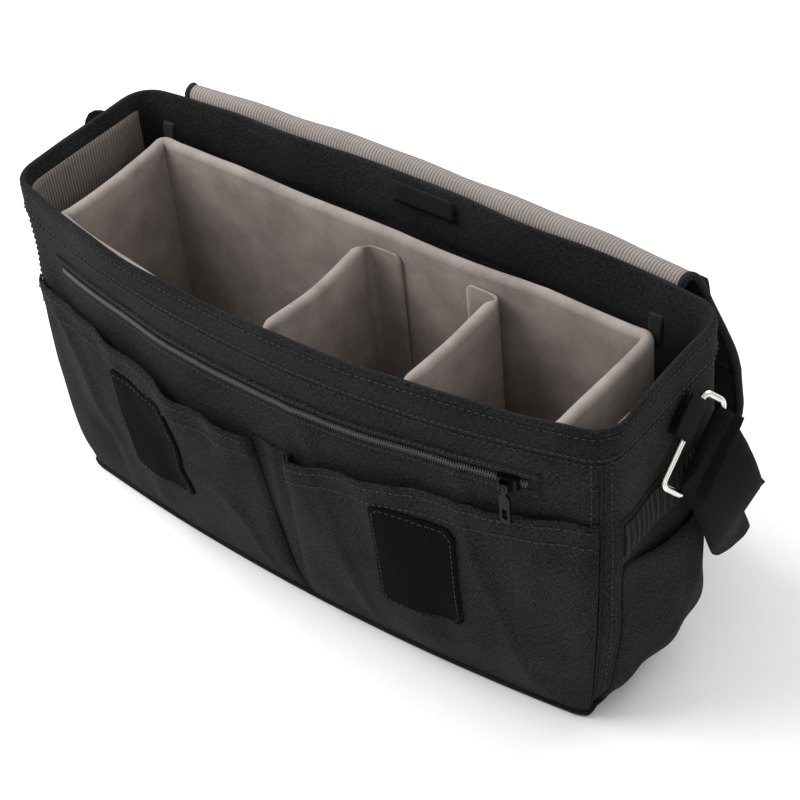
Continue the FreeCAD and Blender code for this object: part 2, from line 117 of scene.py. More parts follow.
def blurred(p, reach, width):
    """Closed polyline with each point averaged over its neighbours."""
    k = np.arange(-reach, reach + 1)
    w = np.exp(-0.5 * (k / width) ** 2)
    w /= w.sum()
    return sum(wk * np.roll(p, int(-kk), axis=0) for kk, wk in zip(k, w))


# ---- the bag's plan outline ----
def bow_y(x, end, bow):
    radius = (XA ** 2 + bow ** 2) / (2 * bow)
    return end + bow - (radius - np.sqrt(radius ** 2 - x ** 2))


def make_outline():
    """Points 1 mm apart round the plan: back centre, left end, front, right end and back again."""
    x = np.arange(0, XA, MM)
    cx, cy = XA, HALF_D - CORNER
    turn = np.arange(0, PI / 2, MM / CORNER)
    back_left = np.stack([-x, bow_y(x, HALF_D, BACK_BOW)], 1)
    corner_bl = np.stack([-cx - CORNER * np.sin(turn), cy + CORNER * np.cos(turn)], 1)
    y = np.arange(cy, -cy, -MM)
    left = np.stack([np.full_like(y, -HALF_W), y], 1)
    corner_fl = np.stack([-cx - CORNER * np.cos(turn), -cy - CORNER * np.sin(turn)], 1)
    front_left = np.stack([-x[::-1], -bow_y(x[::-1], HALF_D, FRONT_BOW)], 1)
    half = np.concatenate([back_left, corner_bl, left, corner_fl, front_left])
    other = half[::-1] * [-1, 1]
    p = blurred(np.concatenate([half, other[1:-1]]), 24, 3.5)
    p = np.concatenate([p, p[:1]])
    return run(p), p


OUT_S, OUT_P = make_outline()
PERIMETER = OUT_S[-1]


def outline_at(s):
    return along(s % PERIMETER, OUT_S, OUT_P)


def edge(s):
    """Point and outward normal of the outline at arc length s."""
    s = np.asarray(s, float) % PERIMETER
    d = outline_at(s + 2 * MM) - outline_at(s - 2 * MM)
    d /= np.linalg.norm(d, axis=-1, keepdims=True)
    return outline_at(s), np.stack([d[..., 1], -d[..., 0]], -1)


def outward_at(s):
    """The outline's outward normal at arc length s, as a level direction in space."""
    n = edge(s)[1]
    return np.concatenate([n, np.zeros(n.shape[:-1] + (1,))], -1)


FRONT = [i for i in range(len(OUT_P)) if OUT_P[i, 1] < -HALF_D * 0.9]
BACK = [i for i in range(len(OUT_P)) if OUT_P[i, 1] > HALF_D * 0.9]


def front_s(x):
    """Arc length at x along the front; past the ends x is carried on round the corners."""
    x = np.asarray(x, float)
    flat = XA - 8 * MM
    inside = np.clip(x, -flat, flat)
    return np.interp(inside, OUT_P[FRONT, 0], OUT_S[FRONT]) + (x - inside)


def back_s(x):
    """Arc length at x along the back, carried on past the full length at the back centre."""
    order = sorted(BACK, key=lambda i: OUT_P[i, 0])
    s = [OUT_S[i] if OUT_S[i] > PERIMETER / 2 else OUT_S[i] + PERIMETER for i in order]
    return np.interp(x, OUT_P[order, 0], s)


def front_lean(p, z):
    """How far the front stands back from its bow at the mouth, at height z."""
    k = np.clip(1 - (p[..., 0] / XA) ** 2, 0, 1) * (p[..., 1] < 0)
    return k * (FRONT_BOW - BASE_BOW) * (1 - z / TOP)


def side_s(y, sign):
    """Arc length at height y of the plan on the right (+1) or left (-1) end."""
    pick = [i for i in range(len(OUT_P)) if sign * OUT_P[i, 0] > HALF_W * 0.9]
    order = sorted(pick, key=lambda i: OUT_P[i, 1])
    return np.interp(y, OUT_P[order, 1], OUT_S[order])


def swell(s, z):
    """How far the soft shell stands out from the plain outline."""
    s, z = np.broadcast_arrays(s, z)
    p, n = edge(s)
    low_mask = step(0.0, 30 * MM, z) * (1 - step(150 * MM, 205 * MM, z))
    q = np.stack([p[..., 0], p[..., 1], z * 0.7], -1)
    belly = 2.2 * MM * np.sin(np.clip(z / (170 * MM), 0, 1) * PI)
    folds = waves(q, 3, 95 * MM) * 1.7 * MM + waves(q * [1, 1, 0.35], 5, 36 * MM) * 0.7 * MM
    end = step(0.5, 0.95, np.abs(n[..., 0]))
    folds = folds + end * waves(q * [1, 1, 0.9], 9, 46 * MM) * 2.0 * MM
    creases = 1 - np.abs(waves(q * [1, 1, 0.6], 12, 120 * MM))
    folds = folds + 1.5 * MM * np.clip(creases - 0.8, 0, 1) * 5
    tuck = -(2.5 + 6 * end) * MM * (1 - step(0, 42 * MM, z)) ** 1.5
    return low_mask * (belly + folds) + tuck


def shell(s, z, off=0.0):
    """Point of the tapered, swollen shell at arc length s, height z and outward offset off."""
    s, z, off = np.broadcast_arrays(np.asarray(s, float), np.asarray(z, float), np.asarray(off, float))
    p, n = edge(s)
    t = np.clip(1 - z / TAPER_TOP, 0, 1) ** 1.3
    sx, sy = 1 - np.where(p[..., 0] > 0, TAPER_RIGHT, TAPER_LEFT) * t, 1 - TAPER_Y * t
    d = off + swell(s, z)
    y = (p[..., 1] + front_lean(p, z)) * sy
    return np.stack([p[..., 0] * sx + n[..., 0] * d, y + n[..., 1] * d, z], -1)


# ---- mesh helpers ----
def make(name, verts, faces, mats, uv=None, index=None, smooth=True):
    """A mesh object; uv is per vertex and in metres, index is the material of each face."""
    mesh = bpy.data.meshes.new(name)
    mesh.from_pydata([tuple(v) for v in verts], [], [tuple(int(i) for i in f) for f in faces])
    for m in mats if isinstance(mats, (list, tuple)) else [mats]:
        mesh.materials.append(m)
    if uv is not None:
        layer = mesh.uv_layers.new(name="UVMap")
        loops = np.empty(len(mesh.loops), int)
        mesh.loops.foreach_get("vertex_index", loops)
        layer.data.foreach_set("uv", np.asarray(uv, float)[loops].ravel())
    if index is not None:
        mesh.polygons.foreach_set("material_index", np.asarray(index, int))
    mesh.polygons.foreach_set("use_smooth", [smooth] * len(mesh.polygons))
    mesh.validate()
    obj = bpy.data.objects.new(name, mesh)
    bpy.context.scene.collection.objects.link(obj)
    return obj


def lengths(g, axis):
    d = np.linalg.norm(np.diff(g, axis=axis), axis=-1).mean(axis=1 - axis)
    return np.concatenate([[0], np.cumsum(d)])


def loft(name, rings, mats, closed=False, index=None):
    """Skin over stations (n, m, 3), each a closed loop of m points; open lofts get capped ends."""
    rings = np.asarray(rings, float)
    n, m = rings.shape[:2]
    verts = rings.reshape(-1, 3)
    u = lengths(rings, 0)
    v = lengths(np.concatenate([rings, rings[:, :1]], 1), 1)[:-1]
    uv = np.stack(np.meshgrid(u, v, indexing="ij"), -1).reshape(-1, 2)
    i, j = np.meshgrid(np.arange(n if closed else n - 1), np.arange(m), indexing="ij")
    a, b = i * m + j, ((i + 1) % n) * m + j
    c, d = ((i + 1) % n) * m + (j + 1) % m, i * m + (j + 1) % m
    faces = np.stack([a, b, c, d], -1).reshape(-1, 4).tolist()
    which = [index[j] if index is not None else 0 for _ in range(i.shape[0]) for j in range(m)]
    if not closed:
        for k in (0, n - 1):
            centre = len(verts)
            verts = np.concatenate([verts, rings[k].mean(0)[None]])
            uv = np.concatenate([uv, uv[k * m][None]])
            for j in range(m):
                p, q = k * m + j, k * m + (j + 1) % m
                faces.append([centre, q, p] if k == 0 else [centre, p, q])
                which.append(0)
    obj = make(name, verts, faces, mats, uv, which)
    fix_normals(obj)
    return obj


def fix_normals(obj):
    bm = bmesh.new()
    bm.from_mesh(obj.data)
    bmesh.ops.recalc_face_normals(bm, faces=bm.faces)
    bm.to_mesh(obj.data)
    bm.free()


def slab(name, front, back, mats, index=None):
    """Closed solid between two grids (nu, nv, 3); index gives (front, back, edge) materials."""
    nu, nv = front.shape[:2]
    verts = np.concatenate([front.reshape(-1, 3), back.reshape(-1, 3)])
    u, v = lengths(front, 0), lengths(front, 1)
    uv = np.stack(np.meshgrid(u, v, indexing="ij"), -1).reshape(-1, 2)
    uv = np.concatenate([uv, uv])
    k = nu * nv
    i, j = np.meshgrid(np.arange(nu - 1), np.arange(nv - 1), indexing="ij")
    a, b, c, d = i * nv + j, (i + 1) * nv + j, (i + 1) * nv + j + 1, i * nv + j + 1
    f = np.stack([a, b, c, d], -1).reshape(-1, 4)
    faces = f.tolist() + (f[:, ::-1] + k).tolist()
    m = index or (0, 0, 0)
    which = [m[0]] * len(f) + [m[1]] * len(f)
    border = [i * nv for i in range(nu)] + [(nu - 1) * nv + j for j in range(1, nv)]
    border += [i * nv + nv - 1 for i in range(nu - 2, -1, -1)] + list(range(nv - 2, 0, -1))
    for p, q in zip(border, border[1:] + border[:1]):
        faces.append([p, p + k, q + k, q])
        which.append(m[2])
    obj = make(name, verts, faces, mats, uv, which)
    fix_normals(obj)
    return obj


def frames(path):
    """Unit tangents of a polyline (n, 3)."""
    t = np.gradient(path, axis=0)
    return t / np.linalg.norm(t, axis=-1, keepdims=True)


def smooth_path(points, spacing=3 * MM, rounds=3):
    """Corner-cut polyline through the control points, resampled evenly; the ends stay."""
    p = np.asarray(points, float)
    for _ in range(rounds):
        q = [p[0]]
        for a, b in zip(p[:-1], p[1:]):
            q += [a * 0.75 + b * 0.25, a * 0.25 + b * 0.75]
        q.append(p[-1])
        p = np.array(q)
    s = run(p)
    return along(np.linspace(0, s[-1], max(4, int(s[-1] / spacing))), s, p)


def tube(name, path, radius, mat, closed=False, sides=8):
    """Round cord along a path."""
    path = np.asarray(path, float)
    t = frames(np.concatenate([path[-2:], path, path[:2]]))[2:-2] if closed else frames(path)
    ref = np.array([0.13, 0.21, 0.97])
    a = np.cross(t, ref)
    a /= np.linalg.norm(a, axis=1, keepdims=True)
    b = np.cross(t, a)
    ang = np.linspace(0, 2 * PI, sides, endpoint=False)
    circle = a[:, None] * np.cos(ang)[None, :, None] + b[:, None] * np.sin(ang)[None, :, None]
    rings = path[:, None] + radius * circle
    return loft(name, rings, mat, closed)


def stitches(name, path, normal, mat, length=2.9 * MM, gap=1.2 * MM, radius=0.38 * MM):
    """Row of thread stitches lying along a path on a surface with the given normals."""
    path = np.asarray(path, float)
    s = run(path)
    normal = np.broadcast_to(np.asarray(normal, float), path.shape)
    start = np.arange(gap, s[-1] - length, length + gap)
    q = start[:, None] + length * np.array([0, 0.18, 0.5, 0.82, 1.0])
    c, n = along(q, s, path), along(q, s, normal)
    n /= np.linalg.norm(n, axis=-1, keepdims=True)
    t = c[:, -1:] - c[:, :1]
    b = np.cross(n, t / np.linalg.norm(t, axis=-1, keepdims=True))
    lift = np.array([-0.5, 0.45, 0.8, 0.45, -0.5])[None, :, None] * radius
    size = np.array([0.45, 0.95, 1.0, 0.95, 0.45])[None, :, None] * radius
    turn = np.arange(6) * PI / 3
    rise = lift + size * np.sin(turn)
    reach = (size * np.cos(turn))[..., None]
    verts = c[:, :, None] + n[:, :, None] * rise[..., None] + b[:, :, None] * reach
    one = [[i * 6 + k, i * 6 + k + 6, i * 6 + (k + 1) % 6 + 6, i * 6 + (k + 1) % 6]
           for i in range(4) for k in range(6)]
    faces = [[v + 30 * i for v in f] for i in range(len(start))
             for f in one + [list(range(6)), list(range(29, 23, -1))]]
    verts = verts.reshape(-1, 3)
    obj = make(name, verts, faces, mat)
    fix_normals(obj)
    return obj


# ---- materials ----
class Nodes:
    """Small helper that adds nodes to one material."""

    def __init__(self, name):
        self.mat = bpy.data.materials.new(name)
        self.mat.use_nodes = True
        self.tree = self.mat.node_tree
        self.bsdf = self.tree.nodes["Principled BSDF"]
        self.coord = self.tree.nodes.new("ShaderNodeTexCoord")

    def add(self, kind, inputs=None, **props):
        node = self.tree.nodes.new(kind)
        for k, v in props.items():
            setattr(node, k, v)
        for k, v in (inputs or {}).items():
            if isinstance(v, bpy.types.NodeSocket):
                self.tree.links.new(v, node.inputs[k])
            else:
                node.inputs[k].default_value = v
        return node

    def mapped(self, source, scale, turn=0.0):
        inputs = {"Vector": source, "Scale": scale, "Rotation": (0, 0, turn)}
        return self.add("ShaderNodeMapping", inputs).outputs[0]

    def noise(self, vector, scale, detail=2.0, rough=0.5):
        return self.add("ShaderNodeTexNoise", {"Vector": vector, "Scale": scale, "Detail": detail,
                                               "Roughness": rough}).outputs["Fac"]

    def wave(self, vector, scale, direction, distortion=0.0):
        return self.add("ShaderNodeTexWave", {"Vector": vector, "Scale": scale, "Distortion": distortion},
                        wave_type="BANDS", bands_direction=direction).outputs["Fac"]

    def math(self, op, a, b=0.0):
        return self.add("ShaderNodeMath", {0: a, 1: b}, operation=op).outputs[0]

    def ramp(self, fac, stops):
        node = self.add("ShaderNodeValToRGB", {"Fac": fac})
        e = node.color_ramp.elements
        while len(e) < len(stops):
            e.new(0.5)
        for el, (pos, col) in zip(e, stops):
            el.position = pos
            el.color = (*col, 1)
        return node.outputs["Color"]

    def mix(self, fac, a, b, blend="MIX"):
        node = self.add("ShaderNodeMix", data_type="RGBA", blend_type=blend)
        for i, v in ((0, fac), (6, a), (7, b)):
            if isinstance(v, bpy.types.NodeSocket):
                self.tree.links.new(v, node.inputs[i])
            else:
                node.inputs[i].default_value = v if i == 0 else (*v, 1)
        return node.outputs[2]

    def finish(self, color, rough, height=None, bump=0.4, distance=0.3 * MM, **values):
        link = self.tree.links.new
        if isinstance(color, bpy.types.NodeSocket):
            link(color, self.bsdf.inputs["Base Color"])
        else:
            self.bsdf.inputs["Base Color"].default_value = (*color, 1)
        if isinstance(rough, bpy.types.NodeSocket):
            link(rough, self.bsdf.inputs["Roughness"])
        else:
            self.bsdf.inputs["Roughness"].default_value = rough
        if height is not None:
            node = self.add("ShaderNodeBump", {"Height": height, "Strength": bump, "Distance": distance})
            link(node.outputs[0], self.bsdf.inputs["Normal"])
        for k, v in values.items():
            self.bsdf.inputs[k.replace("_", " ")].default_value = v
        return self.mat


def period(p):
    """Wave texture scale for bands that repeat every p metres."""
    return 2 * PI / (20 * p)


def canvas_material(name, dark, light, thread=0.9 * MM, streak=1.0, rough=0.95):
    """Washed melange canvas: warp and weft threads of uneven shade, over slow fading."""
    n = Nodes(name)
    uv = n.coord.outputs["UV"]
    warp = n.noise(n.mapped(uv, (1 / (0.55 * MM), 1 / (2.2 * MM), 1)), 1.0, 2.0, 0.65)
    weft = n.noise(n.mapped(uv, (1 / (2.2 * MM), 1 / (0.55 * MM), 1)), 1.0, 2.0, 0.65)
    fade = n.noise(n.coord.outputs["Object"], 20.0, 4.0, 0.6)
    a = n.wave(uv, period(thread), "X", 1.5)
    b = n.wave(uv, period(thread), "Y", 1.5)
    weave = n.math("MULTIPLY", a, b)
    mixed = n.math("ADD", n.math("MULTIPLY", warp, 0.5), n.math("MULTIPLY", weft, 0.5))
    grain = n.math("ADD", n.math("MULTIPLY", n.math("SUBTRACT", mixed, 0.5), 3.4 * streak),
                   n.math("MULTIPLY", n.math("SUBTRACT", weave, 0.25), 0.35))
    tone = n.math("ADD", grain, n.math("ADD", 0.1, n.math("MULTIPLY", fade, 0.6)))
    color = n.ramp(tone, [(0.15, dark), (0.85, light)])
    height = n.math("ADD", n.math("MULTIPLY", weave, 0.8), n.math("MULTIPLY", mixed, 1.2))
    rough_map = n.math("ADD", rough - 0.08, n.math("MULTIPLY", mixed, 0.14))
    return n.finish(color, rough_map, height, 0.8, 0.4 * MM, Sheen_Weight=0.02, Sheen_Roughness=0.5,
                    Specular_IOR_Level=0.06)


def brushed_material(name, dark, light, nap=1.0):
    """Brushed tricot: soft nap with slow changes of shade."""
    n = Nodes(name)
    obj = n.coord.outputs["Object"]
    fine = n.noise(obj, 1400.0, 3.0, 0.65)
    cloud = n.noise(obj, 42.0, 4.0, 0.6)
    tone = n.math("ADD", n.math("MULTIPLY", fine, 0.4), n.math("MULTIPLY", cloud, 0.75))
    color = n.ramp(tone, [(0.35, dark), (0.8, light)])
    height = n.math("ADD", n.math("MULTIPLY", fine, 0.6), n.math("MULTIPLY", n.noise(obj, 260.0, 2.0), 0.8))
    rough = n.math("ADD", 0.86, n.math("MULTIPLY", fine, 0.12))
    return n.finish(color, rough, height, 0.35 * nap, 0.4 * MM, Sheen_Weight=0.12, Sheen_Roughness=0.45,
                    Specular_IOR_Level=0.15)


def ribbed_material(name, dark, light, rib=2.6 * MM, direction="X", rough=0.85, bump=0.8,
                    depth=0.5 * MM, sheen=0.02):
    """Ribbed weave, webbing or elastic: parallel ribs crossed by fine threads."""
    n = Nodes(name)
    uv = n.coord.outputs["UV"]
    cross = "Y" if direction == "X" else "X"
    ribs = n.wave(uv, period(rib), direction, 0.4)
    threads = n.wave(uv, period(rib * 0.33), cross, 0.3)
    grain = n.noise(uv, 900.0, 3.0, 0.6)
    fade = n.noise(n.coord.outputs["Object"], 26.0, 3.0)
    tone = n.math("ADD", n.math("MULTIPLY", ribs, 0.42),
                  n.math("ADD", n.math("MULTIPLY", grain, 0.35), n.math("MULTIPLY", fade, 0.3)))
    color = n.ramp(tone, [(0.2, dark), (0.85, light)])
    height = n.math("ADD", ribs, n.math("MULTIPLY", n.math("MULTIPLY", threads, ribs), 0.45))
    rough_map = n.math("ADD", rough - 0.06, n.math("MULTIPLY", grain, 0.12))
    return n.finish(color, rough_map, height, bump, depth, Sheen_Weight=sheen,
                    Sheen_Roughness=0.5, Specular_IOR_Level=0.05)


def pile_material(name, dark, light):
    """Loop pile of a hook-and-loop patch, in fine lengthwise rows."""
    n = Nodes(name)
    uv = n.coord.outputs["UV"]
    rows = n.wave(uv, period(1.5 * MM), "X", 2.0)
    pile = n.noise(uv, 1800.0, 4.0, 0.7)
    tone = n.math("ADD", n.math("MULTIPLY", rows, 0.35), n.math("MULTIPLY", pile, 0.7))
    color = n.ramp(tone, [(0.3, dark), (0.8, light)])
    height = n.math("ADD", n.math("MULTIPLY", rows, 0.5), pile)
    return n.finish(color, n.math("ADD", 0.8, n.math("MULTIPLY", pile, 0.15)), height, 0.8, 0.5 * MM,
                    Specular_IOR_Level=0.03)


def metal_material(name, color, rough=0.2):
    n = Nodes(name)
    obj = n.coord.outputs["Object"]
    scratch = n.noise(n.mapped(obj, (300, 300, 2400)), 1.0, 3.0, 0.6)
    smudge = n.noise(obj, 160.0, 3.0)
    tone = n.mix(smudge, tuple(c * 0.86 for c in color), color)
    r = n.math("ADD", rough - 0.06, n.math("MULTIPLY", n.math("ADD", scratch, smudge), 0.1))
    return n.finish(tone, r, scratch, 0.05, 0.05 * MM, Metallic=1.0)


def plastic_material(name, dark, light, rough=0.42):
    n = Nodes(name)
    obj = n.coord.outputs["Object"]
    grain = n.noise(obj, 1500.0, 3.0, 0.6)
    wear = n.noise(obj, 180.0, 3.0)
    color = n.ramp(n.math("ADD", n.math("MULTIPLY", grain, 0.4), n.math("MULTIPLY", wear, 0.6)),
                   [(0.35, dark), (0.8, light)])
    rough_map = n.math("ADD", rough - 0.08, n.math("MULTIPLY", wear, 0.2))
    return n.finish(color, rough_map, grain, 0.15, 0.1 * MM)


CANVAS = canvas_material("canvas", (0.0028, 0.0025, 0.0023), (0.034, 0.0315, 0.0295))
RIM_FELT = canvas_material("rim_felt", (0.003, 0.0031, 0.0034), (0.028, 0.0285, 0.031), 0.8 * MM, 0.9)
# Canvas for inner sides: a darker, bluer copy of the canvas, whose darkness is painted shade.
SHADED_CANVAS = canvas_material("canvas_painted_shade", (0.003, 0.003, 0.0033), (0.019, 0.0195, 0.022),
                               0.8 * MM, 0.8)
TAUPE = brushed_material("brushed_taupe", (0.155, 0.13, 0.117), (0.31, 0.27, 0.245))
# Ribbed taupe lining: the copy used inside the bag is painted darker than the flap's copy, as painted
# shade.
SHADED_LINING = ribbed_material("ribbed_taupe_painted_shade", (0.085, 0.072, 0.065), (0.23, 0.20, 0.185), 2.2 * MM, "X")
FLAP_LINING = ribbed_material("ribbed_flap_taupe", (0.13, 0.112, 0.103), (0.32, 0.285, 0.265),
                              2.2 * MM, "Y")
WEBBING = ribbed_material("webbing", (0.0018, 0.0018, 0.0019), (0.0075, 0.0075, 0.008),
                          1.0 * MM, "X", 0.85, 0.45, 0.3 * MM)
ELASTIC = ribbed_material("elastic", (0.004, 0.004, 0.004), (0.036, 0.035, 0.034), 2.4 * MM, "X", 0.85)
BINDING = ribbed_material("binding", (0.007, 0.007, 0.0073), (0.030, 0.030, 0.0315), 1.1 * MM, "X", 0.85)
PILE = pile_material("loop_pile", (0.001, 0.001, 0.001), (0.0075, 0.0075, 0.0078))
THREAD = plastic_material("thread", (0.006, 0.006, 0.0065), (0.030, 0.029, 0.028), 0.8)
THREAD_BLACK = plastic_material("thread_black", (0.002, 0.002, 0.002), (0.009, 0.009, 0.009), 0.8)
ZIP_BLACK = plastic_material("zip_coil", (0.008, 0.008, 0.009), (0.032, 0.032, 0.034), 0.38)
ZIP_TAPE = ribbed_material("zip_tape", (0.006, 0.006, 0.0065), (0.020, 0.020, 0.021), 0.9 * MM, "X", 0.8)
NICKEL = metal_material("nickel", (0.78, 0.76, 0.73), 0.18)
GUNMETAL = metal_material("dark_zip_metal", (0.014, 0.014, 0.015), 0.42)
BOARD = plastic_material("board", (0.02, 0.02, 0.02), (0.05, 0.05, 0.05), 0.7)
LABEL = ribbed_material("label", (0.006, 0.006, 0.0065), (0.016, 0.016, 0.017), 0.7 * MM, "Y", 0.6)


def place(obj, body, *nodes):
    """Rides on a body and hides the CAD nodes it replaces."""
    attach(obj, body)
    if nodes:
        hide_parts(*nodes)
    return obj


# ---- camera, light and floor ----
def camera():
    """Long lens from the right front corner, rolled a little."""
    turn, height, roll = (math.radians(v) for v in (41.7, 41.3, -6.1))
    level = math.cos(height)
    back = Vector((math.sin(turn) * level, -math.cos(turn) * level, math.sin(height)))
    right = Vector((math.cos(turn), math.sin(turn), 0))
    up = back.cross(right)
    side = right * math.cos(roll) + up * math.sin(roll)
    head = -right * math.sin(roll) + up * math.cos(roll)
    data = bpy.data.cameras.new("camera")
    data.lens = 90.4
    data.clip_start, data.clip_end = 0.05, 20
    cam = bpy.data.objects.new("camera", data)
    cam.matrix_world = Matrix((side, head, back)).transposed().to_4x4()
    cam.location = back * 1.2014 + right * 0.021 + up * 0.0076 + Vector((0, 0, 0.0975))
    bpy.context.scene.collection.objects.link(cam)
    bpy.context.scene.camera = cam


def area_light(name, place_at, target, size, power, color=(1, 1, 1)):
    data = bpy.data.lights.new(name, "AREA")
    data.shape, data.size, data.size_y, data.energy, data.color = "RECTANGLE", size, size, power, color
    obj = bpy.data.objects.new(name, data)
    obj.location = place_at
    obj.rotation_euler = (Vector(target) - Vector(place_at)).to_track_quat("-Z", "Y").to_euler()
    bpy.context.scene.collection.objects.link(obj)


def studio():
    """White world, three area lights and a pale floor."""
    scene = bpy.context.scene
    world = bpy.data.worlds.new("studio")
    world.use_nodes = True
    world.node_tree.nodes["Background"].inputs[0].default_value = (1, 1, 1, 1)
    world.node_tree.nodes["Background"].inputs[1].default_value = 0.68
    scene.world = world
    scene.view_settings.view_transform = "Standard"
    area_light("key", (-1.1, -0.5, 1.5), (0, 0, 0.1), 1.5, 46)
    area_light("fill", (1.5, -1.2, 1.0), (0, 0, 0.1), 1.4, 4)
    area_light("rim_light", (0.5, 1.6, 1.3), (0, 0, 0.15), 1.2, 22)
    n = Nodes("floor")
    tone = n.noise(n.coord.outputs["Object"], 3.0, 2.0)
    mat = n.finish(n.mix(tone, (0.86, 0.86, 0.86), (0.89, 0.89, 0.89)), 0.85)
    size = 4.0
    verts = [(-size, -size, 0), (size, -size, 0), (size, size, 0), (-size, size, 0)]
    floor = make("floor", verts, [(0, 1, 2, 3)], mat)


# ---- shell, rim, lining ----
def spaced(a, b, gap, fine_at=(), fine=0.8 * MM, width=4 * MM):
    """Samples from a to b, gap apart, with finer ones near the listed places."""
    s = list(np.linspace(a, b, max(2, int(round((b - a) / gap)) + 1)))
    for f in fine_at:
        s += [v for v in np.arange(f - width, f + width, fine) if a < v < b]
    s = np.array(sorted(s))
    keep = np.concatenate([[True], np.diff(s) > 0.25 * MM])
    return s[keep]


SEAM_X = XA + 0.785 * CORNER
SEAM_S = [float(front_s(-SEAM_X)), float(front_s(SEAM_X))]


def body_shell():
    """The canvas shell, outside and in, from the base to under the rim."""
    s = spaced(0, PERIMETER, 3 * MM, SEAM_S)[:-1]
    z = spaced(1.5 * MM, RIM_LOW + 8 * MM, 3.2 * MM, [20 * MM])
    ss, zz = np.meshgrid(s, z, indexing="ij")
    groove = sum(np.exp(-((ss - c) / (1.3 * MM)) ** 2) for c in SEAM_S)
    pinch = -1.1 * MM * groove * step(10 * MM, 30 * MM, zz)
    under_rim = 1.0 * MM * step(RIM_LOW - 2 * MM, RIM_LOW + 4 * MM, zz)
    tuck = -3.0 * MM * (1 - step(0, 12 * MM, zz)) ** 2 - under_rim
    outer = shell(ss, zz, pinch + tuck)
    inner = shell(ss, zz, pinch + tuck - 2.6 * MM)[:, ::-1]
    place(loft("canvas_shell", np.concatenate([outer, inner], 1), CANVAS, closed=True), "bag",
          "front_panel", "back_panel", "left_gusset", "right_gusset")
    base_edge = shell(s, np.full_like(s, 3.0 * MM), 0.2 * MM)
    place(tube("base_welt", base_edge, 1.9 * MM, RIM_FELT, closed=True), "bag", "base_piping")
    for i, c in enumerate(SEAM_S):
        zs = np.arange(6 * MM, RIM_LOW + 2 * MM, 3 * MM)
        side = ("left", "right")[i]
        place(tube(f"{side}_front_seam_welt", shell(c, zs, -0.4 * MM), 0.8 * MM, CANVAS), "bag")
        for d, tag in ((-5 * MM, "a"), (5 * MM, "b")):
            path = shell(c + d, zs, 0.25 * MM)
            place(stitches(f"seam_stitches_{i}{tag}", path, outward_at(c + d), THREAD), "bag")


def base():
    """Flat base with rounded edge, and the board inside."""
    layers = (("base_cloth", -1.5 * MM, 0, 3.2 * MM, CANVAS, "base_panel"),
              ("floor_board", -5.2 * MM, 3.2 * MM, 5.2 * MM, BOARD, "base_stiffener"))
    for name, off, z0, z1, mat, node in layers:
        s = np.arange(0, PERIMETER, 4 * MM)
        rim = [shell(s, np.full_like(s, max(z, 0.5 * MM)), off + d) * [1, 1, 0] + [0, 0, z]
               for z, d in ((z0, -2 * MM), (z0 + 0.4 * MM, 0), (z1 - 0.5 * MM, 0), (z1, -2 * MM))]
        rings = [rim[0] * [k, k, 1] for k in (0.02, 0.5, 0.8)] + rim
        rings += [rim[3] * [k, k, 1] for k in (0.8, 0.5, 0.02)]
        place(loft(name, np.array(rings), mat), "bag", node)


RIM_BAND = 24            # height of the folded band, in mm
# (outward, height above the band's foot) round the folded band and its facing, in mm
RIM_SECTION = [(0.2, -1.0), (1.1, 0.4), (1.2, 3.0), (1.0, 8.0), (1.1, 13.0), (0.9, 17.5), (0.3, 18.6),
               (1.0, 19.8), (0.9, 22.4), (0.2, 23.6), (-1.0, 24.0), (-2.2, 23.6), (-2.9, 22.3),
               (-3.0, 19.8), (-3.8, 18.6), (-4.6, 14), (-5.0, 7), (-5.0, 0), (-4.9, -7), (-4.6, -14),
               (-4.0, -14.6), (-3.7, -7), (-3.4, -2)]


def rim():
    """Folded binding round the mouth, with the facing inside and three rows of stitching."""
    s = spaced(0, PERIMETER, 3 * MM)[:-1]
    p, n = edge(s)
    lift = waves(p, 21, 130 * MM) * 1.6 * MM - 1.6 * MM + waves(p, 24, 38 * MM) * 0.35 * MM
    lean = waves(p, 22, 90 * MM) * 1.3 * MM
    d, h = (np.array(v, float)[None] for v in zip(*RIM_SECTION))
    f = np.maximum(0, h) / RIM_BAND
    rings = shell(s[:, None], RIM_LOW + h * MM, 0.0)
    off = d * MM + lean[:, None] * f
    rings[..., :2] += n[:, None] * off[..., None]
    rings[..., 2] += lift[:, None] * f
    place(loft("rim_binding", rings, RIM_FELT, closed=True), "bag",
          "rim_front", "rim_back", "rim_left", "rim_right")
    n3 = outward_at(s)
    n3 = np.concatenate([n3, n3[:1]])
    for k, (h, off) in enumerate(((18.2, 0.75), (2.2, 1.35), (-3.2, 0.25))):
        f = max(0.0, h) / RIM_BAND
        path = shell(s, np.full_like(s, RIM_LOW + h * MM), off * MM)
        path[:, :2] += n * (lean * f)[:, None]
        path[:, 2] += lift * f
        path = np.concatenate([path, path[:1]])
        place(stitches(f"rim_stitches_{k}", path, n3, THREAD), "bag")


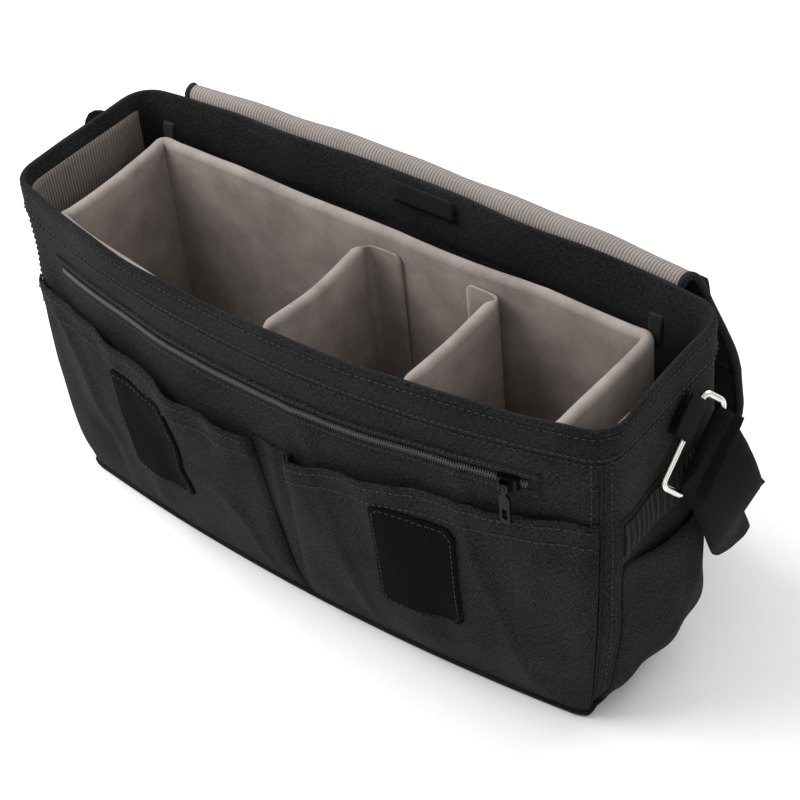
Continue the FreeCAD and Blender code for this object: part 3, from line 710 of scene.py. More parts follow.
def lining():
    """Ribbed lining at the front and ends, dark facing at the back; both are coloured darker than the same
    cloth outside the bag, as painted shade.
    """
    sl, sr = side_s(HALF_D - 12 * MM, -1), side_s(HALF_D - 12 * MM, 1)
    spans = (("lining_front", float(sl), float(sr), SHADED_LINING,
              ("front_lining", "left_lining", "right_lining")),
             ("lining_back", float(sr), float(sl) + PERIMETER, SHADED_CANVAS, ("back_lining",)))
    for name, a, b, mat, nodes in spans:
        s = spaced(a, b, 4 * MM)
        v = spaced(0, 1, 0.024)
        ends = step(0.35, 0.8, np.abs(edge(s)[1][:, 0])) if mat is SHADED_LINING else 0 * s
        zz = 5.4 * MM + v[None] * (RIM_LOW + 1 * MM - 5.4 * MM + 11 * MM * ends[:, None])
        ss = np.broadcast_to(s[:, None], zz.shape)
        over = 1.8 * MM * ends[:, None] * step(RIM_LOW - 24 * MM, RIM_LOW - 14 * MM, zz)
        q = np.stack([*np.moveaxis(edge(ss)[0], -1, 0), zz], -1)
        puff = waves(q, 31, 60 * MM) * 0.7 * MM - 0.3 * MM
        outer = shell(ss, zz, -3.2 * MM - over)
        inner = shell(ss, zz, -4.0 * MM - over - np.maximum(0, 0.7 * MM + puff))
        place(slab(name, outer, inner, mat), "bag", *nodes)
    blank_label()


def blank_label():
    """Plain label on the facing at the back."""
    lo, hi = low("back_label"), high("back_label")
    s = back_s(np.linspace(lo[0], hi[0], 16))
    ss, zz = np.meshgrid(s, np.linspace(lo[2], hi[2], 6), indexing="ij")
    label = slab("blank_label", shell(ss, zz, -6.9 * MM), shell(ss, zz, -5.7 * MM), LABEL)
    place(label, "bag", "back_label")


# ---- front: zip and pockets ----
def pocket_x(z, sign):
    """The pocket's inner edge, drawn in towards the pleat's foot."""
    f = np.clip((z - 6 * MM) / (POCKET_TOP - 6 * MM), 0, 1)
    return sign * (2 + 11 * f ** 0.8) * MM


def pocket_offset(x, z, inner, outer, top):
    """Stand-off of a front pocket: sewn at foot and side, rolled under at the pleat, slack on top."""
    side = 1 - np.exp(-np.abs(outer - x) / (16 * MM))
    pleat = 1 - np.exp(-np.abs(x - inner) / (3.0 * MM))
    foot = 1 - np.exp(-(z - 5 * MM) / (16 * MM))
    mouth = step(top - 60 * MM, top, z) * (1 - 0.6 * step(100 * MM, 160 * MM, np.abs(x)))
    q = np.stack([x, z], -1)
    slack = 1 + 0.22 * waves(q, 41, 80 * MM) + 0.16 * waves(q * [1, 0.4], 43, 30 * MM)
    body = (4.6 + 3.0 * mouth) * MM * foot * (0.1 + 0.9 * side) * slack
    return 0.8 * MM + body * (0.15 + 0.85 * pleat)


def pocket_top(x, sign):
    """Height of the pocket's mouth: highest at the outer end, dipping to the pleat."""
    rise = [-17, -11, 0, 4, 5, 5] if sign < 0 else [-16, -8, 1, 5, 9, 9]
    at = np.interp(np.abs(x), np.array([2, 50, 100, 150, 192, 206]) * MM, np.array(rise) * MM)
    return POCKET_TOP + at + waves(np.stack([x, x * 0], -1), 45, 60 * MM) * 0.6 * MM


def front_pocket(side, sign):
    """Flat pocket with a hemmed mouth, two rows of stitching and its loop patch."""
    nx, nz = 80, 56
    u = np.linspace(0, 1, nx)
    v = np.concatenate([np.linspace(0, 0.93, nz - 8), np.linspace(0.94, 1, 8)])
    uu, vv = np.meshgrid(u, v, indexing="ij")
    outer = sign * (SEAM_X - 1.2 * MM)
    z_guess = 6 * MM + vv * (POCKET_TOP - 6 * MM)
    x = pocket_x(z_guess, sign) + (outer - pocket_x(z_guess, sign)) * uu
    top = pocket_top(x, sign)
    z = 6 * MM + vv * (top - 6 * MM)
    off = pocket_offset(x, z, pocket_x(z, sign), outer, top)
    hem = 0.7 * MM * step(top - 17 * MM, top - 16 * MM, z)
    roll = -0.8 * MM * step(0.985, 1.0, vv)
    s = front_s(x)
    front = shell(s, z, off + hem + roll)
    back = shell(s, z, off - 1.4 * MM * np.clip(off / (2 * MM), 0.2, 1))
    place(slab(f"{side}_pocket", front, back, CANVAS), "bag", f"{side}_front_pocket")
    xs = np.linspace(pocket_x(top.mean(), sign) + sign * 3 * MM, outer - sign * 2 * MM, 90)
    for k, drop in enumerate((14.5 * MM, 3.5 * MM)):
        zt = pocket_top(xs, sign) - drop
        o = pocket_offset(xs, zt, pocket_x(zt, sign), outer, pocket_top(xs, sign)) + 0.95 * MM
        s = front_s(xs)
        place(stitches(f"{side}_pocket_stitches_{k}", shell(s, zt, o), outward_at(s), THREAD), "bag")
    patch(side, sign, outer)


PATCH_R = 2.5 * MM       # corners of the loop patches
PATCH_HEM = 2.6 * MM     # their stitching, in from the edge


def squeeze(p, q, half_p, half_q):
    """Squeezes p of a square grid into a rounded rectangle of the given half sizes."""
    inset = np.maximum(0, np.abs(q) * half_q - (half_q - PATCH_R))
    limit = half_p - (PATCH_R - np.sqrt(np.maximum(0, PATCH_R ** 2 - inset ** 2)))
    return p * limit


def patch(side, sign, outer):
    """Loop patch with rounded corners, sewn on the pocket."""
    node = f"{side}_loop_patch"
    lo, hi = low(node), high(node)
    cx, cz = (lo[0] + hi[0]) / 2, (lo[2] + hi[2]) / 2
    hw, hh = (hi[0] - lo[0]) / 2, (hi[2] - lo[2]) / 2
    a = np.linspace(-1, 1, 30)
    uu, vv = np.meshgrid(a, a, indexing="ij")
    x = cx + squeeze(uu, vv, hw, hh)
    z = cz + squeeze(vv, uu, hh, hw)
    off = pocket_offset(x, z, pocket_x(z, sign), outer, pocket_top(x, sign))
    rim_fall = 0.7 * MM * np.exp(-(1 - np.maximum(np.abs(uu), np.abs(vv))) / 0.04)
    front = shell(front_s(x), z, off + 2.1 * MM - rim_fall)
    back = shell(front_s(x), z, off + 0.4 * MM)
    place(slab(f"{side}_pile_patch", front, back, PILE), "bag", node)
    one = np.ones_like(a)
    p = np.concatenate([a, one, -a, -one])
    q = np.concatenate([-one, a, one, -a])
    x = cx + squeeze(p * (1 - PATCH_HEM / hw), q, hw, hh)
    z = cz + squeeze(q * (1 - PATCH_HEM / hh), p, hh, hw)
    off = pocket_offset(x, z, pocket_x(z, sign), outer, pocket_top(x, sign))
    s = front_s(x)
    path = shell(s, z, off + 2.0 * MM)
    place(stitches(f"{side}_patch_stitches", path, outward_at(s), THREAD_BLACK), "bag")


def pleat():
    """Recessed box pleat between the pockets."""
    z = np.linspace(6 * MM, POCKET_TOP - 15 * MM, 40)
    u = np.linspace(-1, 1, 21)
    uu, zz = np.meshgrid(u, z, indexing="ij")
    half = np.abs(pocket_x(zz, 1)) + 3 * MM
    x = uu * half
    off = 0.7 * MM + 1.4 * MM * np.cos(uu * PI) ** 2 * step(30 * MM, POCKET_TOP, zz)
    front = shell(front_s(x), zz, off)
    back = shell(front_s(x), zz, 0.15 * MM)
    place(slab("pleat_fold", front, back, CANVAS), "bag", "pocket_pleat")


def zip_strip(name, s, zt, z0, z1, off0, bulge, mat, *nodes):
    """Strip along the zip line, from z0 to z1 over it, swelling by bulge in the middle."""
    prof = [(0, off0), (0.15, off0 + bulge * 0.8), (0.5, off0 + bulge), (0.85, off0 + bulge * 0.8),
            (1, off0), (1, off0 - 0.5 * MM), (0, off0 - 0.5 * MM)]
    rings = np.stack([shell(s, zt + (z0 + (z1 - z0) * k), o) for k, o in prof], 1)
    place(loft(name, rings, mat), "bag", *nodes)


TOOTH_PITCH = 0.75 * MM
TOOTH_CORNERS = [(-1, -1, -1), (1, -1, -1), (1, 1, -1), (-1, 1, -1), (-1, -1, 1), (1, -1, 1), (1, 1, 1),
                 (-1, 1, 1)]
TOOTH_FACES = [(0, 3, 2, 1), (4, 5, 6, 7), (0, 1, 5, 4), (1, 2, 6, 5), (2, 3, 7, 6), (3, 0, 4, 7)]


def zip_teeth(xs, zt):
    """Teeth by turns above and below the zip line."""
    verts, faces = [], []
    x, k = -ZIP_END, 0
    while x < ZIP_END:
        s = float(front_s(x))
        c = shell(s, float(np.interp(x, xs, zt)), 1.2 * MM)
        nrm = outward_at(s)
        t = np.array([-nrm[1], nrm[0], 0])
        dz = 0.9 * MM if k % 2 else -0.9 * MM
        faces += [[len(verts) + i for i in q] for q in TOOTH_FACES]
        for a, b, w in TOOTH_CORNERS:
            taper = 0.6 if b > 0 else 1.0
            rise = np.array([0, 0, dz + w * 1.5 * MM])
            verts.append(c + t * a * 0.48 * MM * taper + nrm * b * 0.55 * MM + rise)
        x += TOOTH_PITCH
        k += 1
    coil = make("zip_coil_teeth", verts, faces, ZIP_BLACK, smooth=False)
    fix_normals(coil)
    place(coil, "bag", "zip_coil")


def zip_front():
    """Tape between two lips of the shell, with coil teeth; slider and puller come from the CAD."""
    xs = np.linspace(-ZIP_END - 6 * MM, ZIP_END + 6 * MM, 150)
    s = front_s(xs)
    sag = -4.5 * MM * (1 - step(40 * MM, 150 * MM, np.abs(xs)))
    zt = ZIP_Z + sag
    zip_strip("zip_tape_cloth", s, zt, -5 * MM, 5 * MM, 0.25 * MM, 0.3 * MM, ZIP_TAPE, "zip_tape")
    zip_strip("zip_lip_upper", s, zt, 3.6 * MM, 8.6 * MM, 0.4 * MM, 1.3 * MM, CANVAS)
    zip_strip("zip_lip_lower", s, zt, -8.6 * MM, -3.6 * MM, 0.4 * MM, 0.9 * MM, CANVAS)
    for k, (d, off) in enumerate(((7.2 * MM, 1.55 * MM), (-7.2 * MM, 1.2 * MM))):
        path = shell(s, zt + d, off)
        place(stitches(f"zip_stitches_{k}", path, outward_at(s), THREAD, 2.4 * MM, 1.0 * MM), "bag")
    zip_teeth(xs, zt)


# ---- ends: side pockets, elastic, tabs ----
def end_pocket(side, sign):
    """Rucked pouch on one end, with a bound mouth."""
    node = f"{side}_side_pocket"
    lo, hi = low(node), high(node)
    depth = hi[0] - lo[0]
    half = (hi[1] - lo[1]) / 2
    n, m = 50, 46
    u = np.linspace(-1, 1, n)
    v = np.linspace(0, 1, m)
    uu, vv = np.meshgrid(u, v, indexing="ij")
    spread = half + 9 * MM * (1 - 0.4 * vv)
    y = uu * spread
    top = hi[2] + 3 * MM - 9 * MM * np.cos(uu * PI / 2)
    z = 7 * MM + vv * (top - 7 * MM)
    arch = np.maximum(0, 1 - np.abs(uu) ** 2.6)
    fullness = np.sin(np.clip(0.12 + vv * 0.80, 0, 1) * PI) ** 0.55
    q = np.stack([y, z], -1)
    ruck = 1 + 0.10 * waves(q * [1, 0.35], 51 + (sign > 0), 22 * MM) + 0.10 * waves(q, 53, 45 * MM)
    off = 0.7 * MM + (depth - 1.5 * MM) * arch * fullness * ruck * (0.82 + 0.18 * vv)
    s = side_s(y, sign)
    front = shell(s, z, off)
    back = shell(s, z, np.maximum(off - 1.5 * MM, 0.1 * MM))
    place(slab(f"{side}_end_pouch", front, back, CANVAS), "bag", node)
    edge_off = off[:, -1] - 0.6 * MM
    path = shell(s[:, -1], z[:, -1] + 0.6 * MM, edge_off)
    place(tube(f"{side}_pouch_binding", path, 1.6 * MM, RIM_FELT), "bag")


def elastic(side, sign):
    """Gathered elastic band above the pouch: close upright rucks."""
    node = f"{side}_pocket_elastic"
    lo, hi = low(node), high(node)
    n, m = 220, 12
    y = np.linspace(lo[1] - 8 * MM, hi[1] + 2 * MM, n)
    z = np.linspace(lo[2] + 2 * MM, hi[2] - 1 * MM, m)
    yy, zz = np.meshgrid(y, z, indexing="ij")
    f = (zz - z[0]) / (z[-1] - z[0])
    ruck = np.abs(np.sin(yy / (3.1 * MM) * PI + 0.5 * waves(np.stack([yy, zz * 0.3], -1), 61, 24 * MM)))
    off = 0.8 * MM + 1.5 * MM * ruck * np.sin(np.clip(0.12 + 0.76 * f, 0, 1) * PI)
    s = side_s(yy, sign)
    place(slab(f"{side}_elastic_band", shell(s, zz, off), shell(s, zz, 0.1 * MM), ELASTIC), "bag", node)
    ys = np.linspace(lo[1] - 10 * MM, hi[1] + 4 * MM, 60)
    path = shell(side_s(ys, sign), np.full_like(ys, hi[2] + 3 * MM), 0.1 * MM)
    place(tube(f"{side}_end_seam_welt", path, 0.9 * MM, CANVAS), "bag")


# ---- straps ----
RING_TILT = math.radians(40)
JOINTS = {j["name"]: j for j in frame["joints"]}


def ring_frame(sign):
    """Matrix from the ring's own frame (bar along Y, out along X) to the row frame."""
    pos = Vector(JOINTS["right_ring_swing"]["pos_m"])
    m = Matrix.Translation(pos) @ Matrix.Rotation(RING_TILT, 4, "X")
    return (Matrix.Scale(-1, 4, (1, 0, 0)) @ m) if sign < 0 else m


def local(points, sign):
    m = np.array(ring_frame(sign))
    p = np.asarray(points, float)
    return p @ m[:3, :3].T + m[:3, 3]


WEB_HALF = 24 * MM
WEB_T = 2.2 * MM


def web(name, path, across, mat=WEBBING, half=WEB_HALF, thick=WEB_T):
    """Flat webbing along a path; across gives the width direction at each point."""
    path = np.asarray(path, float)
    across = np.broadcast_to(np.asarray(across, float), path.shape)
    t = frames(path)
    across = across - t * np.sum(across * t, 1, keepdims=True)
    across /= np.linalg.norm(across, axis=1, keepdims=True)
    nrm = np.cross(t, across)
    nrm /= np.linalg.norm(nrm, axis=1, keepdims=True)
    prof = [(a, 0.5 if abs(a) < 0.97 else 0.25) for a in np.linspace(-1, 1, 13)]
    prof = prof + [(a, -h) for a, h in reversed(prof)]
    rings = np.stack([path + across * (a * half) + nrm * (h * thick) for a, h in prof], 1)
    return loft(name, rings, mat)


# centre of each strap from its ring to behind the bag, as seen on the right end, in mm
STRAP_ROUTE = {-1: [(227, 15, 177), (232, 16, 188), (235, 22, 194), (236, 31, 191), (235, 42, 176),
                    (230, 55, 150), (220, 68, 122), (209, 76, 98), (199, 77, 80)],
               1: [(226, 18.5, 160), (231, 22, 146), (234, 26, 130), (234, 32, 114), (230, 41, 102),
                   (225, 52, 96), (218, 64, 92), (209, 74, 87), (199, 77, 79)]}
# its width direction near the ring, midway and behind the bag
STRAP_TURN = {-1: [(0, 0.766, 0.643), (0, 0.80, 0.60), (-0.75, 0, 0.65)],
              1: [(0, 0.766, 0.643), (0.20, 0.70, 0.68), (-0.75, 0, 0.65)]}
TAB_HALF = 12 * MM
TAB_SHIFT = 11 * MM      # the tab sits towards the upper end of the ring's bar


def ring_tab(side, sign):
    """Folded tab that holds the ring, from its bar up to the rim."""
    r = 3.2 * MM
    loop = [(1.4 * MM, 18 * MM), (2.6 * MM, 13 * MM), (3.2 * MM, 8 * MM), (3.3 * MM, 2 * MM)]
    loop += [(r * math.cos(a), r * math.sin(a)) for a in np.linspace(-0.2, -PI + 0.2, 9)]
    loop += [(-3.2 * MM, 2 * MM), (-2.6 * MM, 8 * MM), (-1.6 * MM, 13 * MM), (-1.2 * MM, 17 * MM)]
    path = smooth_path(np.array([(x, TAB_SHIFT, z) for x, z in loop]), 1.5 * MM, 2)
    across = np.array(ring_frame(sign))[:3, :3] @ np.array([0, 1, 0])
    tab = web(f"{side}_ring_tab", local(path, sign), across, WEBBING, TAB_HALF, 1.5 * MM)
    place(tab, "bag", f"{side}_strap_tab")


def strap_end(side, sign):
    """Strap end folded round the ring's far bar, then the drop, as one length of webbing."""
    flip = np.array([sign, 1, 1])
    r = 2.9 * MM
    wrap = [(6.9 * MM + r * math.cos(a), 0, -14.6 * MM + r * math.sin(a))
            for a in np.linspace(-0.7 * PI + 0.25, -1.85 * PI, 10)]
    end = [(17 * MM, 0, -23 * MM), (12 * MM, 0, -19 * MM)]
    path = np.concatenate([local(end + wrap, sign), np.array(STRAP_ROUTE[sign]) * MM * flip])
    path = smooth_path(path, 2 * MM, 2)
    turn = np.array(STRAP_TURN[sign]) * flip
    widths = along(np.linspace(0, 1, len(path)), (0.3, 0.62, 1), turn)
    strap = web(f"{side}_strap_length", path, widths, WEBBING)
    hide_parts(f"{side}_strap_end", f"strap_{side}_drop")
    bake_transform(strap)


def strap_behind():
    """The strap's run behind the bag."""
    lo, hi = low("strap_back_run"), high("strap_back_run")
    y = (lo[1] + hi[1]) / 2
    pts = [(-204, 108), (-190, 80), (-172, 54), (-136, 31), (-60, 27), (0, 28), (60, 27), (136, 31),
           (172, 54), (190, 80), (204, 108)]
    path = smooth_path(np.array([(x * MM, y, z * MM) for x, z in pts]), 4 * MM, 3)
    path[:, 1] += waves(path[:, [0, 2]], 71, 120 * MM) * 1.2 * MM
    across = np.cross(frames(path), [0, 1, 0])
    place(web("strap_behind", path, across), "bag", "strap_back_run")


# ---- flap ----
def joint_pos(name):
    return np.array(JOINTS[name]["pos_m"])


FOLDS = ("flap_crest_fold", "flap_knee_fold", "flap_hem_fold")
FLAP_CORNER = 58 * MM    # radius of the free end's corners
# distance from the crest, and the flap's half width there, in mm
UPPER_HALF = ([-30, 0, 60, 110, 177, 225, 345], [174, 178, 202, 199, 174, 163, 152])


def flap_axes():
    """Directions down the hanging flap, and square to it away from the bag."""
    d = joint_pos("flap_knee_fold") - joint_pos("flap_crest_fold")
    d /= np.linalg.norm(d)
    return d, np.array([0, -d[2], d[1]])


# (back, up) of the flap's start behind the rim and over the crest, in mm
FLAP_ROOT = [(0, -22), (0, -10), (0.4, -3), (3, 1.4), (7.5, 1.9), (11.6, -0.6), (13.4, -8), (14.0, -22)]


def flap_path():
    """Centre line (y, z) of the flap: up behind the rim, over the crest, down, and doubled back up."""
    crest, knee, hem = (joint_pos(k) for k in FOLDS)
    d, out = flap_axes()
    root_y = high("flap_crest")[1] + 0.6 * MM
    pts = [(0, root_y + y * MM, crest[2] + z * MM) for y, z in FLAP_ROOT]
    down = knee - out * 0.5 * MM
    up = hem + out * 4 * MM
    length = np.linalg.norm(down - crest)
    for f in (0.34, 0.55, 0.8, 1.0):
        pts.append(down - d * length * (1 - f) + out * 2.5 * MM * math.sin(f * PI))
    fold = hem - out * 4 * MM
    pts += [fold - d * 20 * MM, fold - d * 6 * MM]
    pts += [hem + d * 4.2 * MM + out * k * MM for k in (-3.2, 0, 3.2)]
    hem_l = (high("flap_hem")[2] - hem[2]) / abs(d[2]) - 2 * MM
    pts += [up - d * hem_l * f for f in (0.06, 0.25, 0.5, 0.75, 1.0)]
    return smooth_path(np.array(pts), 1.6 * MM, 2)


def flap_line():
    """The flap's centre line, its lengths and normals, and where along it the three folds lie."""
    path = flap_path()
    s = run(path)
    t = frames(path)
    nrm = np.stack([t[:, 0], -t[:, 2], t[:, 1]], -1)
    at_hem = s[np.argmin(path[:, 2])]
    from_knee = np.linalg.norm(path - joint_pos("flap_knee_fold"), axis=1)
    at_knee = s[np.argmin(from_knee + (s > at_hem))]
    return path, s, nrm, (s[np.argmax(path[:, 2])], at_knee, at_hem)


def flap_half(q, at_crest, total):
    """Half width of the flap at distance q along it, rounded at the free end's corners."""
    w = np.interp(q - at_crest, np.array(UPPER_HALF[0]) * MM, np.array(UPPER_HALF[1]) * MM)
    tail = np.maximum(0, q - (total - FLAP_CORNER))
    return w - (FLAP_CORNER - np.sqrt(np.maximum(0, FLAP_CORNER ** 2 - tail ** 2)))


def flap_wobble(x, q, folds):
    """How far the cloth stands out from the flap's centre line."""
    crest, knee, hem = folds
    loose = step(crest + 14 * MM, crest + 60 * MM, q) * (1 - step(knee - 25 * MM, knee + 15 * MM, q))
    lift = step(hem + 20 * MM, hem + 60 * MM, q)
    ridge = np.exp(-((q - crest) / (16 * MM)) ** 2)
    wob = waves(np.stack([x, q], -1), 81, 130 * MM) * 2.0 * MM * loose
    wob += waves(np.stack([x, x * 0], -1), 87, 70 * MM) * 1.0 * MM * ridge
    wob += waves(np.stack([x, q * 0.6], -1), 83, 45 * MM) * 0.5 * MM * loose
    wob -= (1.0 + 0.8 * waves(np.stack([x, q], -1), 85, 110 * MM)) * MM * lift
    return wob


def flap_cuts(folds, total):
    """The flap's pieces: name, start, end, bodies, CAD nodes, how and by what it is held, blend spots."""
    crest, knee, hem = (joint_pos(k) for k in FOLDS)
    y, z = high("flap_crest")[1] + 1.5 * MM, crest[2] - 6 * MM
    out = flap_axes()[1]
    a, b = folds[0] + 70 * MM, folds[1] + 22 * MM
    return [("flap_crest_cloth", 0.0, a, ("bag", "flap_upper"), ("flap_crest",), "draped", "rim_back",
             ((0, y, z), (0, y + 12 * MM, z))),
            ("flap_knee_cloth", a, b, ("flap_upper", "flap_middle"), ("flap_top",), "hung",
             "flap_crest_cloth", (tuple(knee + (crest - knee) * 0.09), tuple(knee + (hem - knee) * 0.36))),
            ("flap_hem_cloth", b, total, ("flap_middle", "flap_hem"), ("flap_front", "flap_hem"), "hung",
             "flap_crest_cloth", (tuple(hem - out * 2 * MM), tuple(hem + out * 2 * MM)))]


def flap():
    """Three pieces of lined cloth with bound edges, then the hook patches."""
    path, s, nrm, folds = flap_line()
    total = s[-1]
    u = np.sin(np.linspace(-1, 1, 96) * PI / 2 * 0.985) / math.sin(PI / 2 * 0.985)
    edge_t = 1 - np.exp(-(1 - np.abs(u)) / 0.012)[None] * 0.55
    for name, a, b, bodies, nodes, held, holder, spots in flap_cuts(folds, total):
        q = spaced(a, b, 2.6 * MM, (folds[0], folds[2]), 1.0 * MM, 9 * MM)
        c, n = along(q, s, path), along(q, s, nrm)
        n /= np.linalg.norm(n, axis=1, keepdims=True)
        half = np.pad(flap_half(q, folds[0], total), 4, "edge")
        hw = np.maximum(np.convolve(half, np.ones(9) / 9, "valid"), 2 * MM)
        x = hw[:, None] * u[None]
        qq = np.broadcast_to(q[:, None], x.shape)
        thick = 1.8 * MM * edge_t * (1 - 0.5 * np.exp(-(total - qq) / (1.5 * MM)))
        mid = c[:, None] + n[:, None] * flap_wobble(x, qq, folds)[..., None]
        mid[..., 0] = x
        # the crest follows the bow of the back
        mid[..., 1] -= BACK_BOW * (x / XA) ** 2 * (1 - step(folds[0], folds[0] + 110 * MM, qq))
        rise = n[:, None] * thick[..., None]
        # The flap's canvas side and its edges take the darker canvas, painted shade.
        piece = slab(name, mid + rise, mid - rise, [FLAP_LINING, SHADED_CANVAS], (0, 1, 1))
        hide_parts(*nodes)
        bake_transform(piece)
        for side, k in (("left", 0), ("right", -1)):
            bind = tube(f"{name}_{side}_binding", mid[:, k], 2.5 * MM, BINDING)
            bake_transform(bind)
    hook_pads()


# away from the bag, roughly square to the leaning flap
LEAN_OUT = np.array([0, 0.985, 0.174])


def hook_pads():
    """Hook patches on the hem's lining, between the two layers."""
    for side in ("left", "right"):
        node = f"{side}_hook_patch"
        lo, hi = low(node), high(node)
        uu, zz = np.meshgrid(np.linspace(lo[0], hi[0], 20), np.linspace(lo[2], hi[2], 20), indexing="ij")
        f = (zz - lo[2]) / (hi[2] - lo[2])
        yy = hi[1] + (lo[1] - hi[1]) * f
        mid = np.stack([uu, yy, zz], -1)
        pad = slab(f"{side}_hook_pad", mid - LEAN_OUT * 0.5 * MM, mid + LEAN_OUT * 1.6 * MM, PILE)
        place(pad, "flap_hem", node)


def ears():
    """Bound patches on the flap's lining that tuck into the mouth when the flap is shut."""
    for side, sign in (("left", -1), ("right", 1)):
        node = f"{side}_flap_ear"
        lo, hi = low(node), high(node)
        uu, vv = np.meshgrid(np.linspace(0, 1, 24), np.linspace(0, 1, 24), indexing="ij")
        outward = uu if sign > 0 else 1 - uu
        a, b = 2 * uu - 1, 2 * vv - 1
        round_a = a * np.sqrt(1 - 0.28 * b ** 2)
        round_b = b * np.sqrt(1 - 0.28 * a ** 2)
        x = (lo[0] + hi[0]) / 2 + (hi[0] - lo[0] + 4 * MM) / 2 * round_a + sign * 5 * MM * outward * vv
        z = (lo[2] + hi[2]) / 2 + (hi[2] - lo[2]) / 2 * round_b
        y = lo[1] + (hi[1] - lo[1]) * (hi[2] - z) / (hi[2] - lo[2]) + 4.5 * MM
        y = y + 4 * MM * outward ** 2 * vv
        mid = np.stack([x, y, z + 3 * MM * outward * vv], -1)
        half = LEAN_OUT * 1.0 * MM
        # The ears take the darker canvas, painted shade of their inner side.
        cloth = slab(node + "_cloth", mid + half, mid - half, [SHADED_CANVAS])
        place(cloth, "flap_upper", node)
        ring = np.concatenate([mid[:, 0], mid[-1, 1:], mid[::-1, -1][1:], mid[0, ::-1][1:]])
        bound = place(tube(node + "_binding", ring, 1.7 * MM, BINDING), "flap_upper")
        for piece in (cloth, bound):
            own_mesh(piece)


# ---- insert ----
def insert_path(off):
    """Plan points of the insert's wall centre line, set in by off from its outside."""
    x0, x1 = low("insert_left_wall")[0] + off, high("insert_right_wall")[0] - off
    y1 = high("insert_back_wall")[1] - off
    xs = np.linspace(x0, x1, 60)
    front = -bow_y(xs, HALF_D - 6.2 * MM, FRONT_BOW) + off
    pts = [np.stack([xs, front], 1)]
    pts.append(np.stack([np.full(14, x1), np.linspace(front[-1], y1, 15)[1:]], 1))
    pts.append(np.stack([np.linspace(x1, x0, 60)[1:], np.full(59, y1)], 1))
    pts.append(np.stack([np.full(13, x0), np.linspace(y1, front[0], 15)[1:-1]], 1))
    p = np.concatenate(pts + [pts[0][:1]])
    s = run(p)
    return blurred(along(np.arange(0, s[-1], 2.5 * MM), s, p), 6, 1.3)


def insert_lean(x, y, z):
    """How far a point of the insert stands back from its place at the mouth; the front wall leans in."""
    back = high("insert_back_wall")[1]
    front = -bow_y(x, HALF_D - 6.2 * MM, FRONT_BOW)
    share = np.clip((back - y) / (back - front), 0, 1)
    return share * (1 - (x / XA) ** 2) * (FRONT_BOW - BASE_BOW) * (1 - z / TOP)


def pad_profile(z0, z1, top_r, n_side):
    """Section of a padded wall as (offset factor, z): foot, one side, rounded top, other side."""
    prof = [(-0.8, z0), (0.8, z0)]
    zs = np.linspace(z0 + 1 * MM, z1 - top_r, n_side)
    prof += [(1.0, z) for z in zs]
    prof += [(math.cos(a), z1 - top_r + top_r * math.sin(a)) for a in np.linspace(0.35, PI - 0.35, 6)]
    prof += [(-1.0, z) for z in zs[::-1]]
    return prof


def insert_walls():
    """Padded wall round the insert, as one loop."""
    z0, z1 = low("insert_back_wall")[2], high("insert_back_wall")[2]
    half = 4.0 * MM
    p = insert_path(half)
    d = np.roll(p, -1, axis=0) - np.roll(p, 1, axis=0)
    d /= np.linalg.norm(d, axis=1, keepdims=True)
    n = np.stack([d[:, 1], -d[:, 0]], -1)
    turn = np.linalg.norm(np.roll(d, -2, axis=0) - np.roll(d, 2, axis=0), axis=1)
    corner = np.clip(turn / 1.0, 0, 1)
    f, z = (np.array(v, float)[None] for v in zip(*pad_profile(z0, z1, 4 * MM, 16)))
    h = (z - z0) / (z1 - z0)
    sag = (-2.0 * MM * np.abs(waves(p, 91, 150 * MM)) - 0.2 * MM + 1.2 * MM * corner)[:, None]
    q = np.concatenate([np.repeat(p[:, None], z.shape[1], 1), np.repeat(z[..., None], len(p), 0)], -1)
    bulge = 1 + 0.10 * waves(q, 93, 70 * MM) * np.sin(PI * np.minimum(h, 1) * 0.9)
    bulge = bulge - 0.10 * corner[:, None]
    seam = 1 - 0.16 * np.exp(-((z - (z1 - 11 * MM)) / (1.6 * MM)) ** 2)
    lean = waves(p, 95, 160 * MM)[:, None] * 1.4 * MM * h * (n[:, 1] > -0.5)[:, None]
    off = f * half * bulge * seam + np.minimum(lean, 0.4 * MM)
    rings = np.concatenate([p[:, None] + n[:, None] * off[..., None], (z + sag * h ** 3)[..., None]], -1)
    rings[..., 1] += insert_lean(p[:, :1], p[:, 1:], z)
    wall = loft("insert_walls", rings, TAUPE, closed=True)
    place(wall, "insert", *(f"insert_{k}_wall" for k in ("front", "back", "left", "right")))


def insert_floor():
    """Floor pad: shrinking rings of the walls' plan."""
    z0, z1 = low("insert_floor")[2], high("insert_floor")[2]
    plan = insert_path(1.0 * MM)
    c = plan.mean(0)
    plan[:, 1] += insert_lean(plan[:, 0], plan[:, 1], z0)
    rings = []
    for k, z in ((0.02, z0), (0.5, z0), (1, z0 + 1 * MM), (1, z1 - 2 * MM), (0.96, z1 - 0.3 * MM),
                 (0.6, z1), (0.02, z1)):
        rings.append(np.concatenate([c + (plan - c) * k, np.full((len(plan), 1), z)], 1))
    floor = loft("insert_floor_pad", np.array(rings), TAUPE)
    place(floor, "insert", "insert_floor")


def insert_pulls():
    """Short webbing loops at the two back corners."""
    for side in ("left", "right"):
        node = f"insert_{side}_tab"
        lo, hi = low(node), high(node)
        foot, top = lo[2], hi[2]
        loop = [(0.6, foot), (0.9, top - 9 * MM), (1.4, top - 2 * MM), (3.4, top - 1 * MM),
                (4.0, top - 8 * MM), (2.4, foot + 3 * MM)]
        x = (lo[0] + hi[0]) / 2
        path = smooth_path(np.array([(x, lo[1] + y * MM, z) for y, z in loop]), 1 * MM, 2)
        place(web(f"insert_{side}_pull", path, (1, 0, 0), BINDING, 4 * MM, 1.0 * MM), "insert", node)


